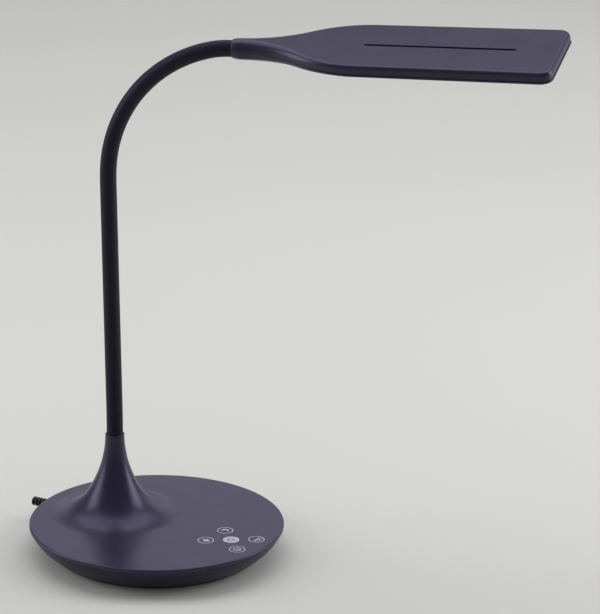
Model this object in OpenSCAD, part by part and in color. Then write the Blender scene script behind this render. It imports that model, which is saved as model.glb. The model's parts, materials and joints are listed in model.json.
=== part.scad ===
// Gooseneck desk lamp: round weighted base with touch controls, flexible neck and flat light head.
// The neck is drawn as short lengths that meet in ball joints, so that it can bend like the real one.

/* [Base] */
// Diameter of the round base over its lip
base_d = 202; // [180:1:230]
// Height of the base's flat top above the table
base_h = 24; // [23:0.5:32]
// Diameter of the tray's flat underside
base_bottom_d = 166; // [160:1:176]
// Wall of the moulded base shells
base_wall = 2.4; // [1.8:0.1:2.8]
// Height of the lip round the cover
lip_h = 3; // [2.6:0.1:3.6]
// How far the lip stands out over the tray
lip_overhang = 1.6; // [0.8:0.1:2.4]
// Dark gap between the cover and the tray
shadow_gap = 0.5; // [0.3:0.1:0.8]
// How far the tray's side swells outward
side_bulge = 2; // [0:0.25:3]
// Room between the non-slip pad and the heads of the case screws
pad_room = 1.2; // [1:0.2:12]
// Thickness of the non-slip pad
pad_t = 1.6; // [1.2:0.1:2]
// Room between the ballast disc and the screw posts
ballast_room = 2.4; // [2:0.2:16]
// Thickness of the steel ballast disc
ballast_t = 7.5; // [4:0.5:8]

/* [Stem] */
// Distance between the trumpet's foot and the base's edge
stem_edge = 7; // [6:0.5:12]
// Height of the trumpet above the base's top
stem_h = 66.2; // [60:0.1:76]
// Radius of the trumpet where it blends into the base's top
stem_foot_r = 54; // [48:1:56]
// Radius of the trumpet's upper end
stem_top_r = 7.6; // [7.1:0.1:8]
// Radius of the tight part of the trumpet's flare
flare_r = 38; // [36:0.5:40]

/* [Neck] */
// Diameter of the neck's rubber sleeve
neck_d = 13; // [12.6:0.1:13]
// Diameter of the coiled steel core in the sleeve
core_d = 9; // [8.4:0.1:9.2]
// Diameter of the channel for the wires
wire_way_d = 3.6; // [2.4:0.1:4]
// Length of the short sleeve on top of the trumpet
root_len = 14; // [12:0.5:20]
// Length of each straight length of neck
straight_len = 39.5; // [34:0.1:50]
// Length of each curved length of neck, along its middle
curved_len = 26.2; // [22:0.1:32]
// Length of neck between the last bend and the head
end_len = 9.3; // [9:0.1:12]
// Turn of each curved length in degrees
curve_angle = 13.5; // [12:0.1:14.5]
// Backward lean of the upright lengths in degrees
neck_lean_angle = 1.25; // [0:0.05:2]
// Swing of the neck about the stem, away from the base's middle line, in degrees
neck_swing = 16.7; // [0:0.1:30]
// Room between the balls and sockets of the neck
ball_gap = 0.3; // [0.25:0.05:0.4]

/* [Head] */
// Length of the head from its collar to its tip
head_len = 255; // [230:1:280]
// Width of the head at its tip
head_w = 82; // [80:0.1:86]
// How far each side spreads between the flare and the tip
side_spread = 1.6; // [0:0.1:2]
// Thickness of the head's flat part
head_t = 9; // [8.8:0.1:9.4]
// Height of the head's top above the middle of its collar
head_rise = 6.9; // [6.6:0.1:7]
// Diameter of the collar that holds the neck
collar_d = 16.4; // [16:0.1:17]
// Distance from the collar's end to where the flare ends
flare_len = 107; // [97:1:112]
// Wall of the head's shells
head_wall = 1.6; // [1.4:0.1:1.8]
// Height of the head's lower frame
frame_h = 2; // [1.9:0.1:2.1]
// How far the lower frame stands out past the upper shell
frame_lip = 0.6; // [0.2:0.1:0.8]
// Rounding of the head's upper edges
edge_r = 3; // [2:0.25:4]
// Rounding of the head's corners seen from above
corner_r = 9; // [7:0.5:12]
// Length of the vent slot along the head's top
slot_len = 117.5; // [80:0.5:122]
// Width of the vent slot
slot_w = 2.8; // [2:0.1:3.4]
// Upward pitch of the head in degrees
head_pitch = 2.8; // [0:0.1:6]
// Roll of the head about its length in degrees
head_roll = 9.5; // [0:0.5:12]

/* [Controls] */
// Distance of the front keys' middles from the base's edge
key_inset = 15.2; // [14.6:0.1:18]
// Distance between the rows of keys along the base
key_step_x = 15.3; // [14.6:0.1:16]
// Distance of the outer keys from the middle line
key_step_y = 12.7; // [11.5:0.1:13]
// Turn of the group of keys about its middle key in degrees
key_angle = -3.5; // [-5:0.5:5]
// Diameter of the ring printed round each key
key_d = 12.9; // [11:0.1:13]
// Width of the printed ring
ring_line = 0.7; // [0.5:0.05:1]
// Thickness of the print
print_t = 0.15; // [0.1:0.05:0.3]

/* [Lead] */
// Diameter of the bore that the supply lead goes through
lead_d = 4; // [3.6:0.1:4.2]
// Depth of the lead's outlet below the tray's upper edge
lead_drop = 5.5; // [5.3:0.1:6]
// Length of the ribbed strain relief outside the base
relief_len = 19; // [17:0.5:24]
// Diameter of the strain relief's ribs
relief_d = 8; // [7.4:0.1:8.6]

/* [Hidden] */
$fn = 96;
full_angle = 360;

// Shared clearances and overruns
cut = 1;
fit = 0.3;
close_fit = 0.1;
running_fit = 0.05;
touch = 0.05;

// Base, worked out from the sizes above
base_r = base_d / 2;
bottom_r = base_bottom_d / 2;
lip_round = 1.2;
lip_under_round = 0.6;
tray_clear = 1;
tray_edge = 1.4;
tray_band = 1.6;
tray_top_r = base_r - lip_overhang;
tray_top_z = base_h - lip_h - shadow_gap;
band_z = tray_top_z - tray_band;
floor_z = tray_clear + base_wall;
under_z = base_h - base_wall;
skirt_t = 2;
skirt_h = 3;
skirt_low_z = base_h - lip_h - skirt_h;
side_steps = 12;
round_steps = 6;
round_r_steps = 4;

// Screws that close the base
post_r = 3.6;
post_share = 0.76;
post_circle = base_r * post_share;
boss_h = 1.2;
boss_top = floor_z + boss_h;
case_screw_r = 1.5;
case_head_r = 2.8;
case_head_h = 1.6;
case_screw_len = 12;
case_sink = 1.8;

// Ballast and its screws
ballast_gap = 0.2;
ballast_z = floor_z + ballast_gap;
ballast_r = post_circle - post_r - ballast_room;
ballast_screw_circle_share = 0.6;
ballast_screw_circle = ballast_r * ballast_screw_circle_share;
ballast_screw_r = 1.8;
ballast_head_r = 3.6;
ballast_head_h = 1.8;
pad_sink = pad_t - tray_clear;
pad_r = post_circle - case_head_r - pad_room;

// Stem, neck root and its fittings
stem_x = stem_foot_r + stem_edge - base_r;
stem_top = base_h + stem_h;
blend_sink = 0.05;
flare_mid_x = stem_foot_r;
flare_mid_z = base_h - blend_sink + flare_r;
stem_run = stem_foot_r - stem_top_r;
stem_rise = stem_top - (base_h - blend_sink);
// Radius of the long upper arc that meets the flare and ends upright at the trumpet's top
long_r = (2 * stem_rise * flare_r - stem_run * stem_run - stem_rise * stem_rise)
    / (2 * flare_r - 2 * stem_run);
long_mid_x = stem_top_r + long_r;
long_mid_z = stem_top;
flare_join_a = atan2(flare_mid_z - long_mid_z, flare_mid_x - long_mid_x);
flare_steps = 12;
long_steps = 20;
bushing_len = 24;
bushing_wall = 1.4;
bushing_flange_t = 2;
bushing_flange_w = 2.6;
bushing_flange_r = core_d / 2 + bushing_flange_w;
bushing_r = core_d / 2 + running_fit + bushing_wall;
seat_z = stem_top - bushing_len;
hollow_step = 6;
hollow_r = stem_foot_r - hollow_step;
root_nut_t = 4;
root_nut_w = 2.8;
root_nut_r = core_d / 2 + root_nut_w;
root_nut_top = seat_z - bushing_flange_t - fit;
core_foot_out = 2;
core_foot_z = root_nut_top - root_nut_t - core_foot_out;

// Neck lengths, joints and headings in the neck's own plane
neck_r = neck_d / 2;
core_r = core_d / 2;
way_r = wire_way_d / 2;
ball_inset = 0.15;
ball_r = neck_r - ball_inset;
socket_r = ball_r + ball_gap;
socket_taper_angle = 29;
ball_rim = sqrt(ball_r * ball_r - core_r * core_r) - close_fit;
// Radius of the tapered socket at a distance x past the ball's middle
function socket_at(x) = (socket_r - x * sin(socket_taper_angle)) / cos(socket_taper_angle);
n_straight = 5;
n_curved = 6;
n_neck = n_straight + n_curved + 2;
seg_lens = concat([root_len], [for (i = [1:n_straight]) straight_len],
    [for (i = [1:n_curved]) curved_len], [end_len]);
seg_turns = [for (i = [0:n_neck - 1]) i > n_straight && i <= n_straight + n_curved ? curve_angle : 0];
curve_r = curved_len / curve_angle * 180 / PI;
upright_angle = 90;

// Heading of length i at its start, counted upward from the horizontal
function seg_heading(i) = i == 0 ? upright_angle
    : i == n_neck - 1 ? head_pitch
    : i <= n_straight + 1 ? upright_angle + neck_lean_angle
    : seg_heading(i - 1) - seg_turns[i - 1];

// Place reached after going along length i from point p
function seg_end(i, p) = seg_turns[i] == 0
    ? p + seg_lens[i] * [cos(seg_heading(i)), sin(seg_heading(i))]
    : let (h = seg_heading(i), m = p + curve_r * [sin(h), -cos(h)], e = h - seg_turns[i])
        m - curve_r * [sin(e), -cos(e)];

// Start of length i, as distance from the stem's axis and height
function seg_start(i) = i == 0 ? [0, stem_top] : seg_end(i - 1, seg_start(i - 1));

// Head, in its own frame: x along the head from the collar, z up from the collar's middle
collar_r = collar_d / 2;
collar_len = 12;
mouth_len = 4;
mouth_gap = 0.3;
mouth_r = neck_r + mouth_gap;
mouth_wall = 0.5;
collar_cone = 6;
cone_steps = 6;
head_top_z = head_rise;
head_bottom_z = head_rise - head_t;
split_z = head_bottom_z + frame_h;
half_w = head_w / 2;
flare_half = half_w - side_spread;
flare_start = collar_cone;
s_run = flare_len - flare_start;
s_rise = flare_half - collar_r;
s_r = (s_run * s_run + s_rise * s_rise) / (4 * s_rise);
edge_steps = 6;
loft_flare_steps = 16;
tip_steps = 6;
blend_share = 0.8;
collar_flat = 0.4;
hollow_draw = 2.2;
frame_edge_r = 1.2;
frame_floor = 1.2;
spigot_r = 3;
bulkhead_end = collar_len;
head_nut_t = 3;
head_nut_r = 4.6;
thread_out = 1;
nut_room = head_nut_t + 3 * fit + thread_out;
spigot_len = bulkhead_end - mouth_len + nut_room;
head_hollow_top = head_top_z - head_wall;
slot_end_gap = 34.1;
slot_x0 = head_len - slot_end_gap - slot_len;
window_start_gap = 5;
window_end_gap = 13;
window_side = 7;
window_x0 = flare_len + window_start_gap;
window_x1 = head_len - window_end_gap;
window_half = flare_half - window_side;
window_corner = 5;

// Light unit inside the head
diffuser_t = 1.2;
diffuser_edge = 2;
diffuser_z = head_bottom_z + frame_floor;
guide_t = 2.6;
guide_corner = 1;
guide_z = diffuser_z + diffuser_t + close_fit;
sheet_t = 0.3;
sheet_z = guide_z + guide_t + touch;
plate_t = 1.2;
plate_z = sheet_z + sheet_t + touch;
strip_t = 0.8;
led_t = 0.7;
led_len = 3;
led_h = 2;
n_leds = 12;
guide_side = 0.5;
guide_half = window_half - guide_side;
led_y = guide_half + close_fit;
strip_y = led_y + led_t;
flange_y = strip_y + strip_t;
unit_start_gap = 2;
unit_end_gap = 1;
unit_x0 = window_x0 + unit_start_gap;
unit_x1 = window_x1 - unit_end_gap;
plate_margin = 2;

// Screws of the head, near both ends of the window
head_screw_y_share = 0.5;
head_screw_y = half_w * head_screw_y_share;
head_screw_gap = 5.5;
head_screw_end_gap = 5.4;
head_screw_x0 = window_x0 - head_screw_gap;
head_screw_x1 = window_x1 + head_screw_end_gap;
head_post_r = 2.6;
head_boss_r = 3;
head_boss_rise = 1;
head_boss_top = split_z + head_boss_rise;
head_screw_r = 0.9;
head_screw_head_r = 1.9;
head_screw_head_h = 1.1;
head_screw_len = 6.5;
head_sink = 1.3;

// Touch board under the cover
board_t = 1.2;
board_drop = 0.6;
board_end_margin = 5.5;
board_side_margin = 9;
board_shift = 0.2;
key_x = base_r - key_inset - key_step_x;
board_top_z = skirt_low_z - shadow_gap - board_drop;
board_len = 2 * (key_step_x + board_end_margin);
board_w = 2 * (key_step_y + board_side_margin);
board_corner = 5;
board_x = key_x + board_shift;
touch_pad_r = 4.5;
board_post_dx = 8;
board_post_out = 5.3;
board_post_dy = key_step_y + board_post_out;
board_post_r = 2.4;
board_screw_r = 0.9;
board_screw_head_r = 2;
board_screw_head_h = 1.2;
board_screw_len = 5.5;
board_under_z = board_top_z - board_t;
part_h = 2.4;
// Places and sizes of the chip, coil, capacitor and wire sockets, as shares of the board's length and width
socket_x_share = -0.355;
socket_y_share = 0.212;
socket_len_share = 0.12;
socket_w_share = 0.19;
part_shares = [[0.19, -0.14, 0.21, 0.21], [-0.05, 0.165, 0.14, 0.14], [0.24, 0.19, 0.12, 0.165],
    [socket_x_share, -socket_y_share, socket_len_share, socket_w_share],
    [socket_x_share, socket_y_share, socket_len_share, socket_w_share]];

// Outlet of the lead at the back of the base
outlet_r = 5.2;
outlet_len = 10.2;
outlet_stand = 0.2;
lead_z = tray_top_z - lead_drop;
relief_neck_r = 3.1;
relief_flange_r = 4.8;
relief_flange_t = 1.4;
n_ribs = 6;
rib_share = 0.55;
rib_draft_share = 0.25;
relief_core_wall = 0.9;
relief_tip_wall = 0.5;
relief_core_r = lead_d / 2 + relief_core_wall;
relief_tip_r = lead_d / 2 + relief_tip_wall;
lead_r = lead_d / 2;
relief_bore_len = 14;

// Wires, their routes as shares: two places along and across, spread of the pair, height
wire_r = 0.7;
wire_sides = 6;
wire_gap = 1;
wire_over = 2.9;
wire_lead = 4;
wire_end_share = 1.5;
wire_z = ballast_z + ballast_t + wire_over;
socket_x = board_x + board_len * (socket_x_share - socket_len_share / 2) - touch;
socket_y = board_w * socket_y_share;
socket_z = board_under_z - touch - part_h / 2;
supply_shares = [[-0.8, 0, 1, 0], [-0.7, 0, 2, 0.5], [-0.5, 0.22, 1.5, 1], [0, 0.28, 1.5, 1],
    [0.35, 0.2, 1.5, 1]];
neck_shares = [[0.005, 0, 1, 0.24], [0.043, 0, 1, 0.616], [0.129, -0.03, 1, 0.88], [0.322, -0.12, 1.5, 0.976],
    [0.644, -0.16, 1.5, 1]];
head_wire_shares = [[0, 0.03, 0], [0.13, 0.045, 0.25], [0.42, 0.15, 0.6], [0.79, 0.475, 0.8]];

// Points on a round stretch of an outline
function arc_points(mid, r, a0, a1, n) = [for (i = [0:n])
    let (a = a0 + (a1 - a0) * i / n) mid + r * [cos(a), sin(a)]];

// Radius of the tray's outside at height z
function side_r(z) = let (u = (z - tray_clear - tray_edge) / (band_z - tray_clear - tray_edge))
    bottom_r + (tray_top_r - bottom_r) * u + 4 * side_bulge * u * (1 - u);

function side_points(inset, z0, z1) = [for (i = [0:side_steps])
    let (z = z0 + (z1 - z0) * i / side_steps) [side_r(z) - inset, z]];

// Radius of the cover's skirt, inside the tray at its upper edge and where the skirt ends
skirt_r = min(tray_top_r, side_r(skirt_low_z)) - base_wall - fit;
// Ends of the outlet, which stands out past the widest part of the tray
outlet_x1 = max([for (p = side_points(0, tray_clear + tray_edge, band_z)) p[0]]) + outlet_stand;
outlet_x0 = outlet_x1 - outlet_len;
relief_end_x = outlet_x1 + relief_flange_t + relief_len;

// Ring of points round a path's point i, square to the path
function path_way(p, i) = let (a = p[max(i - 1, 0)], b = p[min(i + 1, len(p) - 1)]) (b - a) / norm(b - a);
function ring(p, i, r, sides) =
    let (w = path_way(p, i), s = cross([0, 0, 1], w), a = s / norm(s), b = cross(w, a))
    [for (k = [0:sides - 1]) let (t = full_angle * (k + 0.5) / sides) p[i] + r * (cos(t) * a + sin(t) * b)];

// One closed tube along a path, its end rings square to its first and last stretch
module tube(p, r, sides) {
    n = len(p);
    pts = concat([for (i = [0:n - 1]) each ring(p, i, r, sides)], [p[0], p[n - 1]]);
    first = n * sides;
    polyhedron(pts, concat(
        [for (i = [0:n - 2]) for (k = [0:sides - 1]) let (q = (k + 1) % sides)
            each [[i * sides + k, i * sides + q, (i + 1) * sides + q],
                [i * sides + k, (i + 1) * sides + q, (i + 1) * sides + k]]],
        [for (k = [0:sides - 1]) [first, (k + 1) % sides, k]],
        [for (k = [0:sides - 1]) [first + 1, (n - 1) * sides + k, (n - 1) * sides + (k + 1) % sides]]));
}

// Eases from 0 to 1 as t does
function rise(t) = let (u = min(max(t, 0), 1)) u * u * (3 - 2 * u);
function mix(a, b, u) = a + (b - a) * u;

module at_stem() {
    translate([stem_x, 0, 0])
        rotate([0, 0, neck_swing])
            children();
}

// Children are placed with x along length i of the neck, from its start
module at_segment(i) {
    p = seg_start(i);
    at_stem()
        translate([p[0], 0, p[1]])
            rotate([0, -seg_heading(i), 0])
                children();
}

module at_head() {
    p = seg_end(n_neck - 1, seg_start(n_neck - 1));
    at_stem()
        translate([p[0], 0, p[1]])
            rotate([0, -head_pitch, 0])
                rotate([head_roll, 0, 0])
                    children();
}

// Tube along length i, from a distance past its start to a distance beyond its end
module segment_tube(i, r_out, r_in, past, beyond) {
    if (seg_turns[i] == 0)
        translate([past, 0, 0])
            rotate([0, 90, 0])
                difference() {
                    cylinder(r = r_out, h = seg_lens[i] - past + beyond);
                    translate([0, 0, -cut])
                        cylinder(r = r_in, h = seg_lens[i] - past + beyond + 2 * cut);
                }
    else
        let (past_turn = seg_turns[i] * past / seg_lens[i], beyond_turn = seg_turns[i] * beyond / seg_lens[i])
            translate([0, 0, -curve_r])
                rotate([-90, 0, 0])
                    rotate([0, 0, past_turn - 90])
                        rotate_extrude(angle = seg_turns[i] - past_turn + beyond_turn)
                            translate([curve_r, 0])
                                difference() {
                                    circle(r = r_out);
                                    circle(r = r_in);
                                }
}

// Children are placed at the far end of length i, with x pointing on
module at_segment_end(i) {
    if (seg_turns[i] == 0)
        translate([seg_lens[i], 0, 0])
            children();
    else
        translate([0, 0, -curve_r])
            rotate([0, seg_turns[i], 0])
                translate([0, 0, curve_r])
                    children();
}

// Base shells

module trumpet_outline(inset, foot, low, high) {
    lower = arc_points([flare_mid_x, flare_mid_z], flare_r + inset, -90, flare_join_a, flare_steps);
    upper = arc_points([long_mid_x, long_mid_z], long_r + inset, flare_join_a, -180, long_steps);
    curve = [for (p = concat(lower, upper)) if (p[0] < foot && p[1] < high) p];
    polygon(concat([[0, low], [foot, low], [foot, curve[0][1]]], curve,
        [[long_mid_x - sqrt(pow(long_r + inset, 2) - pow(long_mid_z - high, 2)), high], [0, high]]));
}

module base_cover() {
    color("#3a3648")
        difference() {
            union() {
                rotate_extrude()
                    polygon(concat([[0, under_z], [0, base_h]],
                        arc_points([base_r - lip_round, base_h - lip_round], lip_round, 90, 0, round_steps),
                        arc_points([base_r - lip_under_round, base_h - lip_h + lip_under_round],
                            lip_under_round, 0, -90, round_r_steps),
                        [[skirt_r, base_h - lip_h], [skirt_r, skirt_low_z],
                        [skirt_r - skirt_t, skirt_low_z], [skirt_r - skirt_t, under_z]]));
                translate([stem_x, 0, 0])
                    rotate_extrude()
                        trumpet_outline(0, stem_foot_r, (base_h + under_z) / 2, stem_top);
                for (a = [45:90:315])
                    rotate([0, 0, a])
                        translate([post_circle, 0, boss_top + touch])
                            cylinder(r = post_r, h = (base_h + under_z) / 2 - boss_top - touch, $fn = 32);
                for (x = [-1, 1])
                    for (y = [-1, 1])
                        translate([board_x + x * board_post_dx, y * board_post_dy, board_top_z])
                            cylinder(r = board_post_r, h = (base_h + under_z) / 2 - board_top_z, $fn = 32);
            }
            translate([stem_x, 0, 0]) {
                rotate_extrude()
                    trumpet_outline(base_wall, hollow_r, under_z - cut, seat_z);
                translate([0, 0, seat_z - cut])
                    cylinder(r = bushing_r, h = bushing_len + 2 * cut);
            }
            for (a = [45:90:315])
                rotate([0, 0, a])
                    translate([post_circle, 0, boss_top - cut])
                        cylinder(r = case_screw_r, h = case_screw_len + cut, $fn = 32);
            for (x = [-1, 1])
                for (y = [-1, 1])
                    translate([board_x + x * board_post_dx, y * board_post_dy, board_top_z - cut])
                        cylinder(r = board_screw_r, h = board_screw_len + cut - board_t, $fn = 32);
            translate([cut + skirt_t - skirt_r, 0, lead_z])
                rotate([0, -90, 0])
                    cylinder(r = outlet_r + fit, h = skirt_t + 2 * cut, $fn = 48);
        }
}

module base_tray() {
    color("#242230")
        difference() {
            union() {
                rotate_extrude()
                    polygon(concat([[0, tray_clear], [bottom_r - tray_edge, tray_clear]],
                        side_points(0, tray_clear + tray_edge, band_z),
                        [[tray_top_r, tray_top_z], [tray_top_r - base_wall, tray_top_z]],
                        side_points(base_wall, band_z, floor_z), [[0, floor_z]]));
                for (a = [45:90:315])
                    rotate([0, 0, a])
                        translate([post_circle, 0, tray_clear])
                            cylinder(r = post_r, h = boss_top - tray_clear, $fn = 32);
                translate([-outlet_x0, 0, lead_z])
                    rotate([0, -90, 0])
                        cylinder(r = outlet_r, h = outlet_x1 - outlet_x0, $fn = 48);
            }
            translate([0, 0, tray_clear - cut])
                cylinder(r = pad_r + fit, h = pad_sink + cut);
            for (a = [45:90:315])
                rotate([0, 0, a])
                    translate([post_circle, 0, tray_clear - cut]) {
                        cylinder(r = case_screw_r + close_fit, h = base_h, $fn = 32);
                        cylinder(r = case_head_r + close_fit, h = case_sink + cut, $fn = 32);
                    }
            for (a = [60:120:300])
                rotate([0, 0, a])
                    translate([ballast_screw_circle, 0, tray_clear + pad_sink - cut])
                        cylinder(r = ballast_screw_r, h = base_h, $fn = 32);
            translate([-outlet_x0 + cut, 0, lead_z])
                rotate([0, -90, 0])
                    cylinder(r = relief_neck_r + close_fit, h = outlet_x1 - outlet_x0 + 2 * cut, $fn = 48);
        }
}

module ballast_plate() {
    color("#77787a")
        translate([0, 0, ballast_z])
            difference() {
                cylinder(r = ballast_r, h = ballast_t);
                for (a = [60:120:300])
                    rotate([0, 0, a])
                        translate([ballast_screw_circle, 0, -cut])
                            cylinder(r = ballast_screw_r + close_fit, h = ballast_t + 2 * cut, $fn = 32);
            }
}

module foot_pad() {
    color("#1b1b1d")
        cylinder(r = pad_r, h = pad_t - touch);
}

module case_screws() {
    color("#8b8c8e")
        for (a = [45:90:315])
            rotate([0, 0, a])
                translate([post_circle, 0, tray_clear + case_sink - case_head_h]) {
                    cylinder(r = case_head_r, h = case_head_h - touch, $fn = 32);
                    cylinder(r = case_screw_r - close_fit, h = case_screw_len, $fn = 32);
                }
}

module ballast_screws() {
    color("#8b8c8e")
        for (a = [60:120:300])
            rotate([0, 0, a])
                translate([ballast_screw_circle, 0, 0]) {
                    translate([0, 0, ballast_z + ballast_t + touch])
                        cylinder(r = ballast_head_r, h = ballast_head_h, $fn = 32);
                    translate([0, 0, pad_t + touch])
                        cylinder(r = ballast_screw_r - close_fit,
                            h = ballast_z + ballast_t + ballast_head_h / 2 - pad_t, $fn = 32);
                }
}

// Touch controls

// Places of the five keys, the middle one first
function key_place(x, y) =
    [key_x + x * cos(key_angle) - y * sin(key_angle), x * sin(key_angle) + y * cos(key_angle)];
keys = [key_place(0, 0), key_place(-key_step_x, -key_step_y), key_place(-key_step_x, key_step_y),
    key_place(key_step_x, -key_step_y), key_place(key_step_x, key_step_y)];
key_r = key_d / 2;
sign_line_share = 0.13;
sign_line = key_r * sign_line_share;
bow_steps = 10;
power_open_angle = 35;
power_r_share = 0.42;
power_bar_share = 0.46;
power_bar_up_share = 0.36;
bulb_r_share = 0.36;
bulb_up_share = 0.12;
cap_wide_share = 0.34;
cap_high_share = 0.16;
sun_r_share = 0.34;
horizon_share = 1.2;
ray_out_share = 0.62;
ray_share = 0.2;
moon_r_share = 0.46;
moon_cut_r_share = 0.4;
moon_across_share = 0.26;
moon_up_share = 0.1;
clock_r_share = 0.5;
long_hand_share = 0.3;
short_hand_share = 0.24;
long_hand_out_share = 0.13;
short_hand_out_share = 0.1;

module bar(length, wide) {
    translate([-length / 2, -wide / 2])
        square([length, wide]);
}

module bow(r, wide, a0, a1) {
    polygon(concat(arc_points([0, 0], r + wide / 2, a0, a1, bow_steps),
        arc_points([0, 0], r - wide / 2, a1, a0, bow_steps)));
}

module power_sign() {
    bow(key_r * power_r_share, sign_line, upright_angle + power_open_angle,
        upright_angle + full_angle - power_open_angle);
    translate([0, key_r * power_bar_up_share])
        rotate([0, 0, 90])
            bar(key_r * power_bar_share, sign_line);
}

module bulb_sign() {
    translate([0, key_r * bulb_up_share])
        circle(r = key_r * bulb_r_share, $fn = 32);
    translate([0, -key_r * bulb_r_share])
        bar(key_r * cap_wide_share, key_r * cap_high_share);
}

module sun_sign() {
    bow(key_r * sun_r_share, sign_line, 0, 180);
    bar(key_r * horizon_share, sign_line);
    for (a = [30:40:150])
        rotate([0, 0, a])
            translate([key_r * ray_out_share, 0])
                bar(key_r * ray_share, sign_line);
}

module moon_sign() {
    difference() {
        circle(r = key_r * moon_r_share, $fn = 32);
        translate([key_r * moon_across_share, key_r * moon_up_share])
            circle(r = key_r * moon_cut_r_share, $fn = 32);
    }
}

module clock_sign() {
    difference() {
        circle(r = key_r * clock_r_share, $fn = 32);
        circle(r = key_r * clock_r_share - sign_line, $fn = 32);
    }
    translate([0, key_r * long_hand_out_share])
        rotate([0, 0, 90])
            bar(key_r * long_hand_share, sign_line);
    translate([key_r * short_hand_out_share, 0])
        bar(key_r * short_hand_share, sign_line);
}

module control_marks() {
    color("#9a9aa4")
        for (k = [0:len(keys) - 1])
            translate([keys[k][0], keys[k][1], base_h])
                rotate([0, 0, key_angle - 90])
                    linear_extrude(print_t)
                        if (k == 0)
                            difference() {
                                circle(d = key_d, $fn = 64);
                                power_sign();
                            }
                        else {
                            difference() {
                                circle(d = key_d, $fn = 64);
                                circle(r = key_r - ring_line, $fn = 64);
                            }
                            if (k == 1)
                                bulb_sign();
                            else if (k == 2)
                                moon_sign();
                            else if (k == 3)
                                clock_sign();
                            else
                                sun_sign();
                        }
}

module touch_pads() {
    color("#55565a")
        for (p = keys)
            translate([p[0], p[1], board_top_z])
                cylinder(r = touch_pad_r, h = under_z - board_top_z - touch, $fn = 32);
}

module board_outline() {
    for (x = [-1, 1])
        for (y = [-1, 1])
            translate([x * (board_len / 2 - board_corner), y * (board_w / 2 - board_corner)])
                circle(r = board_corner, $fn = 32);
    bar(board_len, board_w - 2 * board_corner);
    bar(board_len - 2 * board_corner, board_w);
}

module touch_board() {
    color("#1f4a34")
        translate([board_x, 0, board_under_z])
            difference() {
                linear_extrude(board_t - touch)
                    board_outline();
                for (x = [-1, 1])
                    for (y = [-1, 1])
                        translate([x * board_post_dx, y * board_post_dy, -cut])
                            cylinder(r = board_screw_r + close_fit, h = board_t + 2 * cut, $fn = 32);
            }
}

// Chip, coil, capacitor and the two wire sockets under the board
module board_parts() {
    color("#2b2b2e")
        for (p = part_shares)
            translate([board_x + board_len * (p[0] - p[2] / 2), board_w * (p[1] - p[3] / 2),
                board_under_z - touch - part_h])
                cube([board_len * p[2], board_w * p[3], part_h]);
}

module board_screws() {
    color("#8b8c8e")
        for (x = [-1, 1])
            for (y = [-1, 1])
                translate([board_x + x * board_post_dx, y * board_post_dy, board_under_z - touch]) {
                    translate([0, 0, -board_screw_head_h])
                        cylinder(r = board_screw_head_r, h = board_screw_head_h, $fn = 32);
                    translate([0, 0, -board_screw_head_h / 2])
                        cylinder(r = board_screw_r - close_fit, h = board_screw_len, $fn = 32);
                }
}

// Lead outlet

module strain_relief() {
    pitch = relief_len / n_ribs;
    x0 = outlet_x0 - relief_flange_t - close_fit;
    x1 = outlet_x0 - close_fit;
    x2 = outlet_x1 + close_fit;
    x3 = outlet_x1 + relief_flange_t;
    color("#121214")
        translate([0, 0, lead_z])
            rotate([0, -90, 0])
                rotate_extrude($fn = 48)
                    polygon(concat([[0, x0], [relief_flange_r, x0], [relief_flange_r, x1]],
                        [[relief_neck_r, x1], [relief_neck_r, x2], [relief_flange_r, x2]],
                        [[relief_flange_r, x3]],
                        [for (i = [0:n_ribs - 1]) let (z = x3 + i * pitch, s = i / (n_ribs - 1),
                                c = mix(relief_core_r, relief_tip_r, s),
                                r = relief_d / 2 - (relief_core_r - relief_tip_r) * s,
                                gap = pitch * (1 - rib_share))
                            each [[c, z], [c, z + gap], [r, z + gap + (r - c) * rib_draft_share],
                                [r, z + pitch - (r - c) * rib_draft_share]]],
                        [[relief_tip_r, relief_end_x], [lead_r, relief_end_x],
                        [lead_r, relief_end_x - relief_bore_len], [0, relief_end_x - relief_bore_len]]));
}

// Straight last stretch of a wire, up to the socket on the board
function socket_end(y) = [[socket_x - wire_lead, y, socket_z], [socket_x, y, socket_z]];

module supply_wires() {
    color("#7d2a26")
        for (y = [-wire_gap, wire_gap])
            tube(concat([[relief_flange_t + close_fit + touch - outlet_x0, y, lead_z]],
                [for (s = supply_shares)
                    [base_r * s[0], base_r * s[1] + y * s[2], mix(lead_z, wire_z, s[3])]],
                socket_end(socket_y + y * wire_end_share)), wire_r, wire_sides);
}

// Neck

module neck_bushing() {
    color("#b5a06a")
        translate([stem_x, 0, 0])
            difference() {
                union() {
                    translate([0, 0, seat_z - bushing_flange_t])
                        cylinder(r = bushing_flange_r, h = bushing_flange_t - touch);
                    translate([0, 0, seat_z - bushing_flange_t])
                        cylinder(r = bushing_r - touch, h = bushing_len + bushing_flange_t - touch);
                }
                translate([0, 0, seat_z - bushing_flange_t - cut])
                    cylinder(r = core_r + running_fit, h = bushing_len + bushing_flange_t + 2 * cut);
            }
}

module neck_root_nut() {
    color("#8b8c8e")
        translate([stem_x, 0, root_nut_top - root_nut_t])
            difference() {
                cylinder(r = root_nut_r, h = root_nut_t, $fn = 6);
                translate([0, 0, -cut])
                    cylinder(r = core_r + touch, h = root_nut_t + 2 * cut, $fn = 48);
            }
}

module neck_wires() {
    color("#c9c9c6")
        for (y = [-wire_gap, wire_gap])
            tube(concat([[stem_x, y, core_foot_z - fit]],
                [for (s = neck_shares)
                    [mix(stem_x, socket_x, s[0]), base_r * s[1] + y * s[2], mix(core_foot_z, wire_z, s[3])]],
                socket_end(y * wire_end_share - socket_y)), wire_r, wire_sides);
}

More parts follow.
